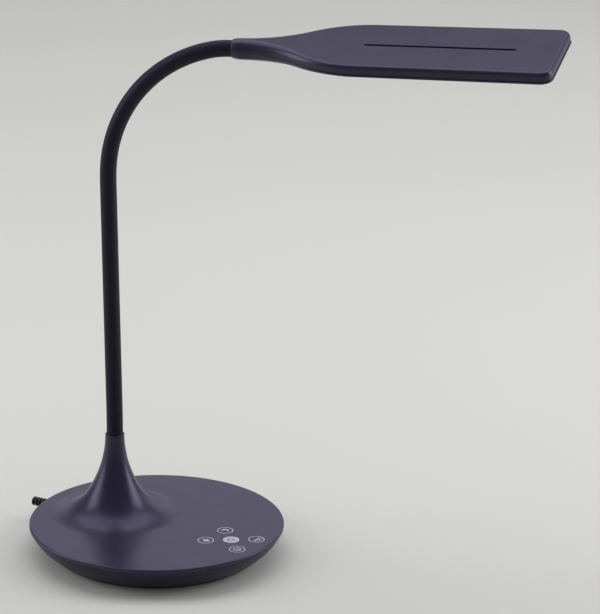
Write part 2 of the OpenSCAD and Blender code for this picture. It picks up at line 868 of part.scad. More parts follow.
// Rubber sleeve round length i, with half a ball at its far end and a tapered socket at its start
module neck_sleeve(i) {
    last = i == n_neck - 1;
    color("#1c1a24")
        at_segment(i)
            difference() {
                segment_tube(i, neck_r, core_r + touch, i == 0 ? fit : 0, last ? mouth_len - fit : ball_r);
                if (!last)
                    at_segment_end(i)
                        difference() {
                            translate([0, -neck_d, -neck_d])
                                cube(2 * neck_d);
                            sphere(r = ball_r);
                        }
                if (i > 0)
                    translate([-cut, 0, 0])
                        rotate([0, 90, 0])
                            cylinder(r1 = socket_at(-cut), r2 = socket_at(socket_r), h = socket_r + cut);
            }
}

// Steel core of length i, which ends flush with the rim of the sleeve's ball
module neck_core(i) {
    last = i == n_neck - 1;
    past = i == 0 ? core_foot_z - stem_top : socket_r;
    beyond = last ? mouth_len - fit : ball_rim;
    color("#6d6e72")
        at_segment(i) {
            segment_tube(i, core_r, way_r, past, beyond);
            if (last)
                translate([seg_lens[i] + mouth_len - fit, 0, 0])
                    rotate([0, 90, 0])
                        difference() {
                            cylinder(r = spigot_r, h = spigot_len);
                            translate([0, 0, -cut])
                                cylinder(r = way_r, h = spigot_len + 2 * cut);
                        }
        }
}

// Head

// Place on the flare's side at x, with the direction that points outward
function flare_place(x) = x < flare_start + s_run / 2
    ? let (y = collar_r + s_r - sqrt(s_r * s_r - pow(x - flare_start, 2)))
        [x, y, (flare_start - x) / s_r, (collar_r + s_r - y) / s_r]
    : let (y = flare_half - s_r + sqrt(s_r * s_r - pow(flare_len - x, 2)))
        [x, y, (x - flare_len) / s_r, (y - flare_half + s_r) / s_r];
head_places = concat(
    [for (i = [0:loft_flare_steps]) flare_place(mix(flare_start, flare_len, i / loft_flare_steps))],
    [for (i = [0:tip_steps]) let (a = 90 - 90 * i / tip_steps)
        [head_len - corner_r + corner_r * cos(a), half_w - corner_r + corner_r * sin(a), cos(a), sin(a)]]);
n_places = len(head_places);
// How far the collar's round shape has turned into the flat one at x
function head_blend(x) = rise((x - flare_start) / (s_run * blend_share));
// Both sides of the head at one height: each place moved inward and up as the two functions' values say
function head_ring(insets, heights) = concat(
    [for (j = [0:n_places - 1]) let (p = head_places[j])
        [p[0] - insets[j] * p[2], p[1] - insets[j] * p[3], heights[j]]],
    [for (j = [n_places - 1:-1:0]) let (p = head_places[j])
        [p[0] - insets[j] * p[2], -p[1] + insets[j] * p[3], heights[j]]]);
// Rings of the upper shell, from the parting plane up its sides and round its upper edge
function upper_ring(k) = let (a = 90 * (k - 1) / edge_steps,
        b = [for (p = head_places) head_blend(p[0])],
        r = [for (u = b) mix(collar_r - collar_flat, edge_r, u)],
        t = [for (u = b) mix(collar_r, head_top_z, u)])
    k == 0 ? head_ring([for (u = b) 0], [for (u = b) split_z])
    : head_ring(r * (1 - cos(a)), t - r * (1 - sin(a)));
function lower_ring(k) = let (a = 90 * (k - 1) / edge_steps,
        b = [for (p = head_places) head_blend(p[0])],
        r = [for (u = b) mix(collar_r + split_z - collar_flat, frame_edge_r, u)],
        t = [for (u = b) mix(-collar_r, head_bottom_z, u)])
    k == 0 ? head_ring(-frame_lip * b, [for (u = b) split_z])
    : head_ring(r * (1 - cos(a)) - frame_lip * b, t + r * (1 - sin(a)));

// Closed solid through rings stacked on each other; turned tells that they go down instead of up
module stack(rings, turned) {
    n = len(rings);
    m = len(rings[0]);
    top = (n - 1) * m;
    sides = [for (k = [0:n - 2]) for (q = [0:m - 1]) let (a = k * m + q, b = k * m + (q + 1) % m)
        each [[a, b, b + m], [a, b + m, a + m]]];
    caps = [for (j = [0:m / 2 - 2]) let (a = j, b = j + 1, c = m - 2 - j, d = m - 1 - j)
        each [[a, c, b], [a, d, c], [top + a, top + b, top + c], [top + a, top + c, top + d]]];
    all = concat(sides, caps);
    polyhedron([for (r = rings) each r], turned ? [for (t = all) [t[0], t[2], t[1]]] : all);
}

// Outline of the head's hollow seen from above, drawn in further where the flare is still round
module hollow_outline() {
    side = [for (p = head_places) if (p[0] > bulkhead_end + cut)
        let (inset = head_wall + hollow_draw * (1 - head_blend(p[0])))
            [p[0] - inset * p[2], p[1] - inset * p[3]]];
    start = collar_r - head_wall - hollow_draw;
    polygon(concat([[bulkhead_end, -start], [bulkhead_end, start]], side,
        [for (i = [len(side) - 1:-1:0]) [side[i][0], -side[i][1]]]));
}

module rounded_plate(x0, x1, half, corner, z, t) {
    translate([0, 0, z])
        linear_extrude(t) {
            translate([x0 + corner, -half])
                square([x1 - x0 - 2 * corner, 2 * half]);
            translate([x0, -half + corner])
                square([x1 - x0, 2 * half - 2 * corner]);
            for (x = [x0 + corner, x1 - corner])
                for (y = [-half + corner, half - corner])
                    translate([x, y])
                        circle(r = corner, $fn = 48);
        }
}

module at_head_screws(z) {
    for (x = [head_screw_x0, head_screw_x1])
        for (y = [-head_screw_y, head_screw_y])
            translate([x, y, z])
                children();
}

// Room for the nut behind the collar's wall
module nut_pocket() {
    translate([bulkhead_end, 0, 0])
        rotate([0, 90, 0])
            cylinder(r = head_nut_r + fit, h = nut_room + 2 * fit);
}

module head_shell() {
    color("#3a3648")
        at_head()
            difference() {
                union() {
                    difference() {
                        stack([for (k = [0:edge_steps + 1]) upper_ring(k)], false);
                        translate([0, 0, split_z - cut])
                            linear_extrude(head_hollow_top - split_z + cut)
                                hollow_outline();
                    }
                    rotate([0, 90, 0])
                        rotate_extrude()
                            polygon(concat([[0, 0]],
                                [for (i = [0:cone_steps]) let (u = i / cone_steps)
                                    [mix(mouth_r + mouth_wall, collar_r + touch, u * (2 - u)),
                                        collar_cone * u]],
                                [[collar_r + touch, collar_len], [0, collar_len]]));
                    at_head_screws(head_boss_top + close_fit)
                        cylinder(r = head_post_r, h = head_hollow_top + head_wall / 2 - head_boss_top,
                            $fn = 32);
                }
                translate([-cut, 0, 0])
                    rotate([0, 90, 0])
                        cylinder(r = mouth_r, h = mouth_len + cut);
                rotate([0, 90, 0])
                    cylinder(r = spigot_r + running_fit, h = collar_len + cut, $fn = 48);
                nut_pocket();
                translate([slot_x0 + slot_w / 2, -slot_w / 2, 0])
                    cube([slot_len - slot_w, slot_w, head_t]);
                for (x = [slot_x0 + slot_w / 2, slot_x0 + slot_len - slot_w / 2])
                    translate([x, 0, 0])
                        cylinder(d = slot_w, h = head_t, $fn = 32);
                at_head_screws(split_z - cut)
                    cylinder(r = head_screw_r, h = head_screw_len, $fn = 32);
            }
}

module head_frame() {
    color("#2c2936")
        at_head()
            difference() {
                union() {
                    difference() {
                        stack([for (k = [0:edge_steps + 1]) lower_ring(k)], true);
                        translate([0, 0, head_bottom_z + frame_floor])
                            linear_extrude(head_t)
                                hollow_outline();
                        translate([-head_len, -head_w, -head_w])
                            cube([head_len + collar_len + fit, 2 * head_w, 2 * head_w]);
                    }
                    at_head_screws(head_bottom_z + frame_floor / 2)
                        cylinder(r = head_boss_r, h = head_boss_top - head_bottom_z - frame_floor / 2,
                            $fn = 32);
                }
                nut_pocket();
                rounded_plate(window_x0, window_x1, window_half, window_corner, head_bottom_z - cut, head_t);
                at_head_screws(head_bottom_z - cut) {
                    cylinder(r = head_screw_r + close_fit, h = head_t, $fn = 32);
                    cylinder(r = head_screw_head_r + close_fit, h = head_sink + cut, $fn = 32);
                }
            }
}

module diffuser() {
    color("#e8e8e4")
        at_head() {
            rounded_plate(window_x0 - diffuser_edge, window_x1 + diffuser_edge, window_half + diffuser_edge,
                window_corner, diffuser_z + touch, diffuser_t);
            rounded_plate(window_x0 + fit, window_x1 - fit, window_half - fit, window_corner,
                head_bottom_z + fit, frame_floor);
        }
}

module light_guide() {
    color("#dfe6ea")
        at_head()
            rounded_plate(unit_x0, unit_x1, guide_half, guide_corner, guide_z + touch, guide_t - touch);
}

module reflector_sheet() {
    color("#f2f2f0")
        at_head()
            rounded_plate(unit_x0, unit_x1, guide_half, guide_corner, sheet_z, sheet_t);
}

module heat_plate() {
    color("#9da0a4")
        at_head() {
            translate([unit_x0, -flange_y - plate_t, plate_z])
                cube([unit_x1 - unit_x0, 2 * (flange_y + plate_t), plate_t]);
            for (y = [-flange_y - plate_t, flange_y + touch])
                translate([unit_x0, y, guide_z + touch])
                    cube([unit_x1 - unit_x0, plate_t - touch, plate_z - guide_z + plate_t / 2]);
        }
}

module led_strips() {
    color("#e9e9e2")
        at_head()
            for (y = [-flange_y + touch, strip_y + touch])
                translate([unit_x0 + plate_margin, y, guide_z + touch])
                    cube([unit_x1 - unit_x0 - 2 * plate_margin, strip_t - 2 * touch, guide_t - touch]);
}

module leds() {
    pitch = (unit_x1 - unit_x0 - 4 * plate_margin - led_len) / (n_leds - 1);
    color("#f0d56a")
        at_head()
            for (y = [-strip_y, led_y])
                for (i = [0:n_leds - 1])
                    translate([unit_x0 + 2 * plate_margin + i * pitch, y, guide_z + (guide_t - led_h) / 2])
                        cube([led_len, led_t, led_h]);
}

module head_screws() {
    color("#8b8c8e")
        at_head()
            at_head_screws(head_bottom_z + head_sink - head_screw_head_h) {
                cylinder(r = head_screw_head_r, h = head_screw_head_h - touch, $fn = 32);
                cylinder(r = head_screw_r - close_fit, h = head_screw_len, $fn = 32);
            }
}

module head_nut() {
    color("#8b8c8e")
        at_segment(n_neck - 1)
            translate([seg_lens[n_neck - 1] + bulkhead_end + fit, 0, 0])
                rotate([0, 90, 0])
                    difference() {
                        cylinder(r = head_nut_r, h = head_nut_t, $fn = 6);
                        translate([0, 0, -cut])
                            cylinder(r = spigot_r + touch, h = head_nut_t + 2 * cut, $fn = 48);
                    }
}

module head_wires() {
    x0 = bulkhead_end + nut_room + fit;
    strip_mid_y = strip_y + strip_t / 2;
    strip_mid_z = guide_z + guide_t / 2;
    color("#c9c9c6")
        at_head()
            for (y = [-strip_mid_y, strip_mid_y])
                tube(concat([for (s = head_wire_shares)
                        [mix(x0, unit_x0, s[0]), y * s[1], strip_mid_z * s[2]]],
                    [[unit_x0 - wire_lead, y, strip_mid_z]],
                    [[unit_x0 + plate_margin - touch, y, strip_mid_z]]), wire_r / 2, wire_sides);
}

base_cover();
base_tray();
ballast_plate();
foot_pad();
case_screws();
ballast_screws();
control_marks();
touch_pads();
touch_board();
board_parts();
board_screws();
strain_relief();
supply_wires();
neck_bushing();
neck_root_nut();
neck_wires();
for (i = [1:n_neck]) neck_sleeve(i - 1);
for (i = [1:n_neck]) neck_core(i - 1);
head_shell();
head_frame();
diffuser();
light_guide();
reflector_sheet();
heat_plate();
led_strips();
leds();
head_screws();
head_wires();
head_nut();
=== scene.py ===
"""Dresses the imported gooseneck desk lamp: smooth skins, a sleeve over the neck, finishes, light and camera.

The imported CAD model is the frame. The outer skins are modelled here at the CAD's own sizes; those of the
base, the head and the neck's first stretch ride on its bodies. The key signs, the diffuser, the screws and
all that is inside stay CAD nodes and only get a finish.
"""

from __future__ import annotations

import json
import logging
import math
from dataclasses import dataclass
from enum import Enum
from typing import Callable, Iterable, Sequence

import bmesh
import bpy
from mathutils import Matrix, Vector

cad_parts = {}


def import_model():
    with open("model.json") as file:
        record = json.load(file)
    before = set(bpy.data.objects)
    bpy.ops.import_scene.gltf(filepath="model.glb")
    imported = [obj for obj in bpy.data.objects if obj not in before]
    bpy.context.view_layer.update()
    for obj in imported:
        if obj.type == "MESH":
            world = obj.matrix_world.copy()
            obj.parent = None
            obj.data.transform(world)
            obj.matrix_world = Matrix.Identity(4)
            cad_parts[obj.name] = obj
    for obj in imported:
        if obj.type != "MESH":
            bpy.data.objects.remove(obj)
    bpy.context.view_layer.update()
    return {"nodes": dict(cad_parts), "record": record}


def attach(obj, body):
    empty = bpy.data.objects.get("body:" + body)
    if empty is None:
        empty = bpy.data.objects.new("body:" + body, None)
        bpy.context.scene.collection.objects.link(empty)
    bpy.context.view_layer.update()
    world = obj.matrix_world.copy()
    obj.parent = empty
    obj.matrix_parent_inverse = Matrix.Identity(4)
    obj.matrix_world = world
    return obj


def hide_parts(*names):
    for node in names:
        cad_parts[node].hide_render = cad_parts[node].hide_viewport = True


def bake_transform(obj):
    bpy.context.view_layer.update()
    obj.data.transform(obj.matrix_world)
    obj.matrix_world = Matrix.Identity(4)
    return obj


log = logging.getLogger("desk_lamp")

MM = 0.001
UM = 1e-6
NEAR_ZERO = 1e-6
MERGE_M = 1e-7
MERGE_MM = 1e-4
SHARP_DEG = 40.0
LEAST_TURN_DEG = 25.0
ROUND_SHARE = 0.4
CUT_OVER = 2.0

Point = tuple[float, float, float]
Colour = tuple[float, float, float]
Profile = list[tuple[float, float]]


# Sizes in millimetres: the CAD's own, and the fine roundings that only the looks have


@dataclass(frozen=True)
class CameraFit:
    """The photograph's camera, fitted to the base's ellipses and the neck."""

    image: tuple[int, int] = (600, 614)
    focal_px: float = 4000.0
    azimuth_deg: float = 32.0
    pitch_deg: float = 19.07
    roll_deg: float = 0.6
    target: Point = (0.0, 0.0, 24.0)
    target_in_camera: Point = (-111.9, -171.1, 3174.3)
    sensor: float = 36.0


@dataclass(frozen=True)
class BaseSizes:
    """Round base with its trumpet."""

    rim_r: float = 101.0
    top_z: float = 24.0
    lip_h: float = 3.0
    rim_round: float = 1.2
    under_round: float = 0.6
    wall: float = 2.4
    skirt_r: float = 96.2
    skirt_t: float = 2.0
    skirt_h: float = 3.0
    tray_top_r: float = 99.4
    tray_top_z: float = 20.5
    tray_band: float = 1.6
    tray_edge: float = 1.4
    tray_bottom_z: float = 1.0
    bottom_r: float = 83.0
    side_bulge: float = 2.0
    edge_round: float = 0.3
    floor_t: float = 1.0
    floor_round: float = 0.2
    pad_r: float = 72.76
    pad_t: float = 1.55
    pad_seat_z: float = 1.6
    pad_gap: float = 0.3
    pad_round: float = 0.4
    grip_start: float = 6.0
    grip_pitch: float = 7.0
    grip_land: float = 4.6
    grip_depth: float = 0.25
    grip_edge: float = 2.0
    stem_x: float = -40.0
    stem_h: float = 66.2
    stem_top_r: float = 7.6
    foot_r: float = 54.0
    flare_r: float = 38.0
    hollow_r: float = 48.0
    bushing_r: float = 5.95
    bushing_len: float = 24.0
    mouth_round: float = 0.35
    mouth_skin: float = 0.4
    mouth_in: float = 1.5
    mouth_side: float = 1.2
    plate_edge: float = 0.6
    skirt_edge: float = 1.0
    blend_sink: float = 0.05
    screw_circle: float = 76.76
    screw_well_r: float = 2.9
    screw_well_h: float = 1.8
    outlet_z: float = 15.0
    outlet_r: float = 5.2
    outlet_x0: float = 89.4
    outlet_x1: float = 99.6
    outlet_bore_r: float = 3.2
    outlet_round: float = 0.5
    notch_gap: float = 0.3

    @property
    def stem_top_z(self) -> float:
        """Height of the trumpet's upper end."""
        return self.top_z + self.stem_h

    @property
    def long_r(self) -> float:
        """Radius of the long upper arc that meets the flare and ends upright.

        Returns:
            The radius.
        """
        run = self.foot_r - self.stem_top_r
        rise = self.stem_h + self.blend_sink
        return (2 * rise * self.flare_r - run * run - rise * rise) / (2 * self.flare_r - 2 * run)


@dataclass(frozen=True)
class ReliefSizes:
    """Ribbed strain relief behind the base."""

    flange_r: float = 4.8
    flange_t: float = 1.4
    length: float = 19.0
    ribs: int = 6
    rib_share: float = 0.55
    rib_draft: float = 0.25
    rib_r: float = 4.0
    core_r: float = 2.9
    tip_r: float = 2.5
    bore_r: float = 2.0
    bore_len: float = 14.0
    seat_gap: float = 0.1
    rib_round: float = 0.35


@dataclass(frozen=True)
class NeckSizes:
    """Neck: radius, and the lengths between its joints."""

    radius: float = 6.5
    root_len: float = 14.0
    straight_len: float = 39.5
    straight_count: int = 5
    curved_len: float = 26.2
    curved_count: int = 6
    end_len: float = 9.3
    curve_turn: float = 13.5
    lean: float = 1.25
    swing: float = 16.7
    root_gap: float = 0.3
    mouth_len: float = 3.7
    blend_half: float = 12.0
    smooth_half: float = 7.0

    @property
    def lengths(self) -> list[float]:
        """Length of every stretch between joints.

        Returns:
            The lengths, from the trumpet to the head.
        """
        return (
            [self.root_len]
            + [self.straight_len] * self.straight_count
            + [self.curved_len] * self.curved_count
            + [self.end_len]
        )

    @property
    def edges(self) -> list[float]:
        """Length from the trumpet's mouth to every joint, and to the neck's end.

        Returns:
            The running lengths, zero first.
        """
        edges = [0.0]
        for length in self.lengths:
            edges.append(edges[-1] + length)
        return edges

    @property
    def turns(self) -> list[float]:
        """Turn of every stretch, in degrees."""
        return [0.0] * (1 + self.straight_count) + [self.curve_turn] * self.curved_count + [0.0]


@dataclass(frozen=True)
class HeadSizes:
    """Flat head, in its own frame: x along it from the collar, z up from the collar's middle."""

    length: float = 255.0
    half_w: float = 41.0
    side_spread: float = 1.6
    top_z: float = 6.9
    bottom_z: float = -2.1
    split_z: float = -0.1
    collar_r: float = 8.2
    bore_r: float = 3.1
    collar_round: float = 0.2
    collar_sink: float = 0.15
    rim_r: float = 7.3
    flare_start: float = 6.0
    flare_len: float = 107.0
    blend_share: float = 0.8
    edge_r: float = 3.0
    frame_edge_r: float = 1.2
    frame_lip: float = 0.6
    collar_lap: float = 0.2
    crown_in: float = 0.8
    shell_parting: tuple[tuple[float, float], ...] = ((0.20, 0.02), (0.06, 0.06), (0.0, 0.20))
    frame_parting: tuple[tuple[float, float], ...] = ((1.3, 0.0), (0.25, 0.0), (0.07, 0.07), (0.0, 0.25))
    corner_r: float = 9.0
    collar_flat: float = 0.05
    mouth_r: float = 6.8
    mouth_len: float = 4.0
    collar_len: float = 12.0
    slot_x0: float = 103.4
    slot_len: float = 117.5
    slot_w: float = 2.8
    slot_depth: float = 5.5
    slot_round: float = 0.25
    window_x0: float = 112.0
    window_x1: float = 242.0
    window_half: float = 32.4
    window_corner: float = 5.0
    screw_y: float = 20.5
    screw_x: tuple[float, float] = (106.5, 247.4)
    screw_well_r: float = 2.0
    screw_well_h: float = 1.3
    pitch: float = 2.8
    roll: float = 9.5
    steps_flare: int = 56
    steps_side: int = 13
    steps_tip: int = 16
    steps_end: int = 8
    steps_edge: int = 12

    @property
    def flare_half(self) -> float:
        """Half the head's width where the flare ends."""
        return self.half_w - self.side_spread


# Finishes


class Kind(Enum):
    """How a finish's surface is broken up."""

    MOULDED = "moulded"
    SILICONE = "silicone"
    METAL = "metal"
    OPAL = "opal"
    FOAM = "foam"
    PLAIN = "plain"


@dataclass(frozen=True)
class Finish:
    """A procedural finish.

    Attributes:
        slot: Name of the record's material slot.
        colour: Linear base colour.
        roughness: Mean roughness.
        kind: How the surface is broken up.
        metallic: 1 for bare metal.
        specular: Specular level, 0.5 for common plastics.
        tint: Colour of the mirrored light.
        coat: Weight of a clear satin layer.
        grain_mm: Size of the surface's grain.
        bump_um: Depth of the grain.
        mottle: Share by which the colour wanders.
        transmission: Share of the light that goes through.
        subsurface: Share of the light that spreads inside.
    """

    slot: str
    colour: Colour
    roughness: float
    kind: Kind = Kind.MOULDED
    metallic: float = 0.0
    specular: float = 0.5
    tint: Colour = (1.0, 1.0, 1.0)
    coat: float = 0.0
    grain_mm: float = 0.35
    bump_um: float = 6.0
    mottle: float = 0.04
    transmission: float = 0.0
    subsurface: float = 0.0


VIOLET_SHEEN: Colour = (0.84, 0.80, 1.0)

FINISHES: tuple[Finish, ...] = (
    Finish("housing", (0.0200, 0.0180, 0.0330), 0.31, specular=0.50, tint=VIOLET_SHEEN),
    Finish("housing_dark", (0.0125, 0.0105, 0.0300), 0.38, specular=0.45, tint=VIOLET_SHEEN),
    Finish(
        "sleeve", (0.0085, 0.0076, 0.0140), 0.52, Kind.SILICONE,
        specular=0.27, tint=VIOLET_SHEEN, grain_mm=0.9, bump_um=5.0,
    ),
    Finish("pad", (0.012, 0.012, 0.013), 0.78, Kind.FOAM, grain_mm=0.8, bump_um=60.0),
    Finish("relief", (0.006, 0.006, 0.008), 0.46, Kind.SILICONE, specular=0.4, grain_mm=0.6, bump_um=6.0),
    Finish("print", (0.560, 0.550, 0.520), 0.60, specular=0.3, grain_mm=0.3, bump_um=2.0, mottle=0.05),
    Finish("diffuser", (0.78, 0.78, 0.76), 0.38, Kind.OPAL, grain_mm=1.2, bump_um=30.0, subsurface=0.15),
    Finish("guide", (0.72, 0.78, 0.80), 0.12, Kind.PLAIN, transmission=0.6),
    Finish("reflector", (0.85, 0.85, 0.84), 0.35, Kind.PLAIN),
    Finish(
        "ballast", (0.30, 0.30, 0.31), 0.45, Kind.METAL,
        metallic=1.0, grain_mm=2.0, bump_um=12.0, mottle=0.15,
    ),
    Finish("steel", (0.52, 0.52, 0.53), 0.30, Kind.METAL, metallic=1.0, mottle=0.08),
    Finish("brass", (0.60, 0.45, 0.20), 0.28, Kind.METAL, metallic=1.0, mottle=0.08),
    Finish("aluminium", (0.022, 0.022, 0.026), 0.50, Kind.METAL, metallic=0.6, mottle=0.06),
    Finish("contact", (0.10, 0.10, 0.105), 0.85, Kind.FOAM, grain_mm=0.5, bump_um=40.0),
    Finish("board", (0.010, 0.090, 0.045), 0.35, coat=0.4, mottle=0.12, grain_mm=3.0),
    Finish("chips", (0.020, 0.020, 0.022), 0.50),
    Finish("wire_red", (0.35, 0.02, 0.015), 0.40, Kind.PLAIN),
    Finish("wire_white", (0.70, 0.70, 0.67), 0.40, Kind.PLAIN),
    Finish("strip", (0.75, 0.75, 0.70), 0.40),
    Finish("led", (0.85, 0.66, 0.22), 0.45),
)


class FinishShop:
    """Makes each finish's material once, from nodes in the piece's own coordinates."""

    MOTTLE_MM = 14.0
    WEAR_MM = 22.0
    METAL_WEAR_MM = 6.0
    WEAR_REACH = 0.03
    METAL_WEAR_REACH = 0.07
    NOISE_LOW = 0.3
    NOISE_HIGH = 0.7
    BRUSHED = (1, 12, 1)
    COAT_ROUGHNESS = 0.3
    SPREAD_M = 0.002

    def __init__(self, finishes: Iterable[Finish]) -> None:
        """Keeps the finishes by slot.

        Args:
            finishes: Every finish that a piece can have.
        """
        self._finishes = {f.slot: f for f in finishes}
        self._made: dict[str, bpy.types.Material] = {}

    def material(self, slot: str) -> bpy.types.Material:
        """Returns the material of a slot.

        Args:
            slot: Name of the record's material slot.

        Returns:
            The material, made on first use.
        """
        if slot not in self._made:
            self._made[slot] = self._make(self._finishes[slot])
        return self._made[slot]

    def _make(self, finish: Finish) -> bpy.types.Material:
        """Makes one finish's material.

        Args:
            finish: The finish.

        Returns:
            The new material.
        """
        material = bpy.data.materials.new(f"finish_{finish.slot}")
        material.use_nodes = True
        tree = material.node_tree
        shader = next(n for n in tree.nodes if n.type == "BSDF_PRINCIPLED")
        shader.inputs["Metallic"].default_value = finish.metallic
        shader.inputs["Specular IOR Level"].default_value = finish.specular
        shader.inputs["Specular Tint"].default_value = (*finish.tint, 1.0)
        shader.inputs["Coat Weight"].default_value = finish.coat
        shader.inputs["Coat Roughness"].default_value = self.COAT_ROUGHNESS
        shader.inputs["Transmission Weight"].default_value = finish.transmission
        shader.inputs["Subsurface Weight"].default_value = finish.subsurface
        shader.inputs["Subsurface Radius"].default_value = (self.SPREAD_M,) * 3
        coords = tree.nodes.new("ShaderNodeTexCoord")
        self._colour(tree, shader, coords, finish)
        self._roughness(tree, shader, coords, finish)
        self._grain(tree, shader, coords, finish)
        return material

    @staticmethod
    def _noise(
        tree: bpy.types.NodeTree,
        coords: bpy.types.Node,
        size_mm: float,
        detail: float,
        stretch: Point = (1, 1, 1),
    ) -> bpy.types.Node:
        """Adds a noise in the piece's own coordinates.

        Args:
            tree: The material's nodes.
            coords: Its texture coordinates.
            size_mm: Size of the noise.
            detail: Levels of finer noise.
            stretch: Scale along each axis.

        Returns:
            The noise node.
        """
        place = tree.nodes.new("ShaderNodeMapping")
        place.inputs["Scale"].default_value = stretch
        noise = tree.nodes.new("ShaderNodeTexNoise")
        noise.inputs["Scale"].default_value = 1.0 / (size_mm * MM)
        noise.inputs["Detail"].default_value = detail
        tree.links.new(coords.outputs["Object"], place.inputs["Vector"])
        tree.links.new(place.outputs["Vector"], noise.inputs["Vector"])
        return noise

    def _colour(
        self, tree: bpy.types.NodeTree, shader: bpy.types.Node, coords: bpy.types.Node, finish: Finish
    ) -> None:
        """Lets the base colour wander a little.

        Args:
            tree: The material's nodes.
            shader: Its surface.
            coords: Its texture coordinates.
            finish: The finish.
        """
        noise = self._noise(tree, coords, self.MOTTLE_MM, detail=3.0)
        ramp = tree.nodes.new("ShaderNodeValToRGB")
        low, high = 1.0 - finish.mottle, 1.0 + finish.mottle
        ramp.color_ramp.elements[0].position = self.NOISE_LOW
        ramp.color_ramp.elements[1].position = self.NOISE_HIGH
        ramp.color_ramp.elements[0].color = (*(min(c * low, 1.0) for c in finish.colour), 1.0)
        ramp.color_ramp.elements[1].color = (*(min(c * high, 1.0) for c in finish.colour), 1.0)
        tree.links.new(noise.outputs["Fac"], ramp.inputs["Fac"])
        tree.links.new(ramp.outputs["Color"], shader.inputs["Base Color"])

    def _roughness(
        self, tree: bpy.types.NodeTree, shader: bpy.types.Node, coords: bpy.types.Node, finish: Finish
    ) -> None:
        """Lets the roughness wander, more on metal.

        Args:
            tree: The material's nodes.
            shader: Its surface.
            coords: Its texture coordinates.
            finish: The finish.
        """
        metal = finish.kind is Kind.METAL
        noise = self._noise(tree, coords, self.METAL_WEAR_MM if metal else self.WEAR_MM, detail=4.0)
        spread = tree.nodes.new("ShaderNodeMapRange")
        reach = self.METAL_WEAR_REACH if metal else self.WEAR_REACH
        spread.inputs["From Min"].default_value = self.NOISE_LOW
        spread.inputs["From Max"].default_value = self.NOISE_HIGH
        spread.inputs["To Min"].default_value = finish.roughness - reach
        spread.inputs["To Max"].default_value = finish.roughness + reach
        tree.links.new(noise.outputs["Fac"], spread.inputs["Value"])
        tree.links.new(spread.outputs["Result"], shader.inputs["Roughness"])

    def _grain(
        self, tree: bpy.types.NodeTree, shader: bpy.types.Node, coords: bpy.types.Node, finish: Finish
    ) -> None:
        """Adds the surface's fine grain as a bump.

        Args:
            tree: The material's nodes.
            shader: Its surface.
            coords: Its texture coordinates.
            finish: The finish.
        """
        if finish.kind is Kind.PLAIN:
            return
        if finish.kind is Kind.OPAL:
            grain = tree.nodes.new("ShaderNodeTexVoronoi")
            grain.inputs["Scale"].default_value = 1.0 / (finish.grain_mm * MM)
            tree.links.new(coords.outputs["Object"], grain.inputs["Vector"])
            height = grain.outputs["Distance"]
        else:
            stretch = self.BRUSHED if finish.kind is Kind.METAL else (1, 1, 1)
            grain = self._noise(tree, coords, finish.grain_mm, detail=2.0, stretch=stretch)
            height = grain.outputs["Fac"]
        bump = tree.nodes.new("ShaderNodeBump")
        bump.inputs["Strength"].default_value = 1.0
        bump.inputs["Distance"].default_value = finish.bump_um * UM
        tree.links.new(height, bump.inputs["Height"])
        tree.links.new(bump.outputs["Normal"], shader.inputs["Normal"])


# Mesh helpers


@dataclass(frozen=True)
class Ring:
    """A closed ring of verts in a mesh, with the edges between them."""

    verts: list[bmesh.types.BMVert]
    edges: list[bmesh.types.BMEdge]


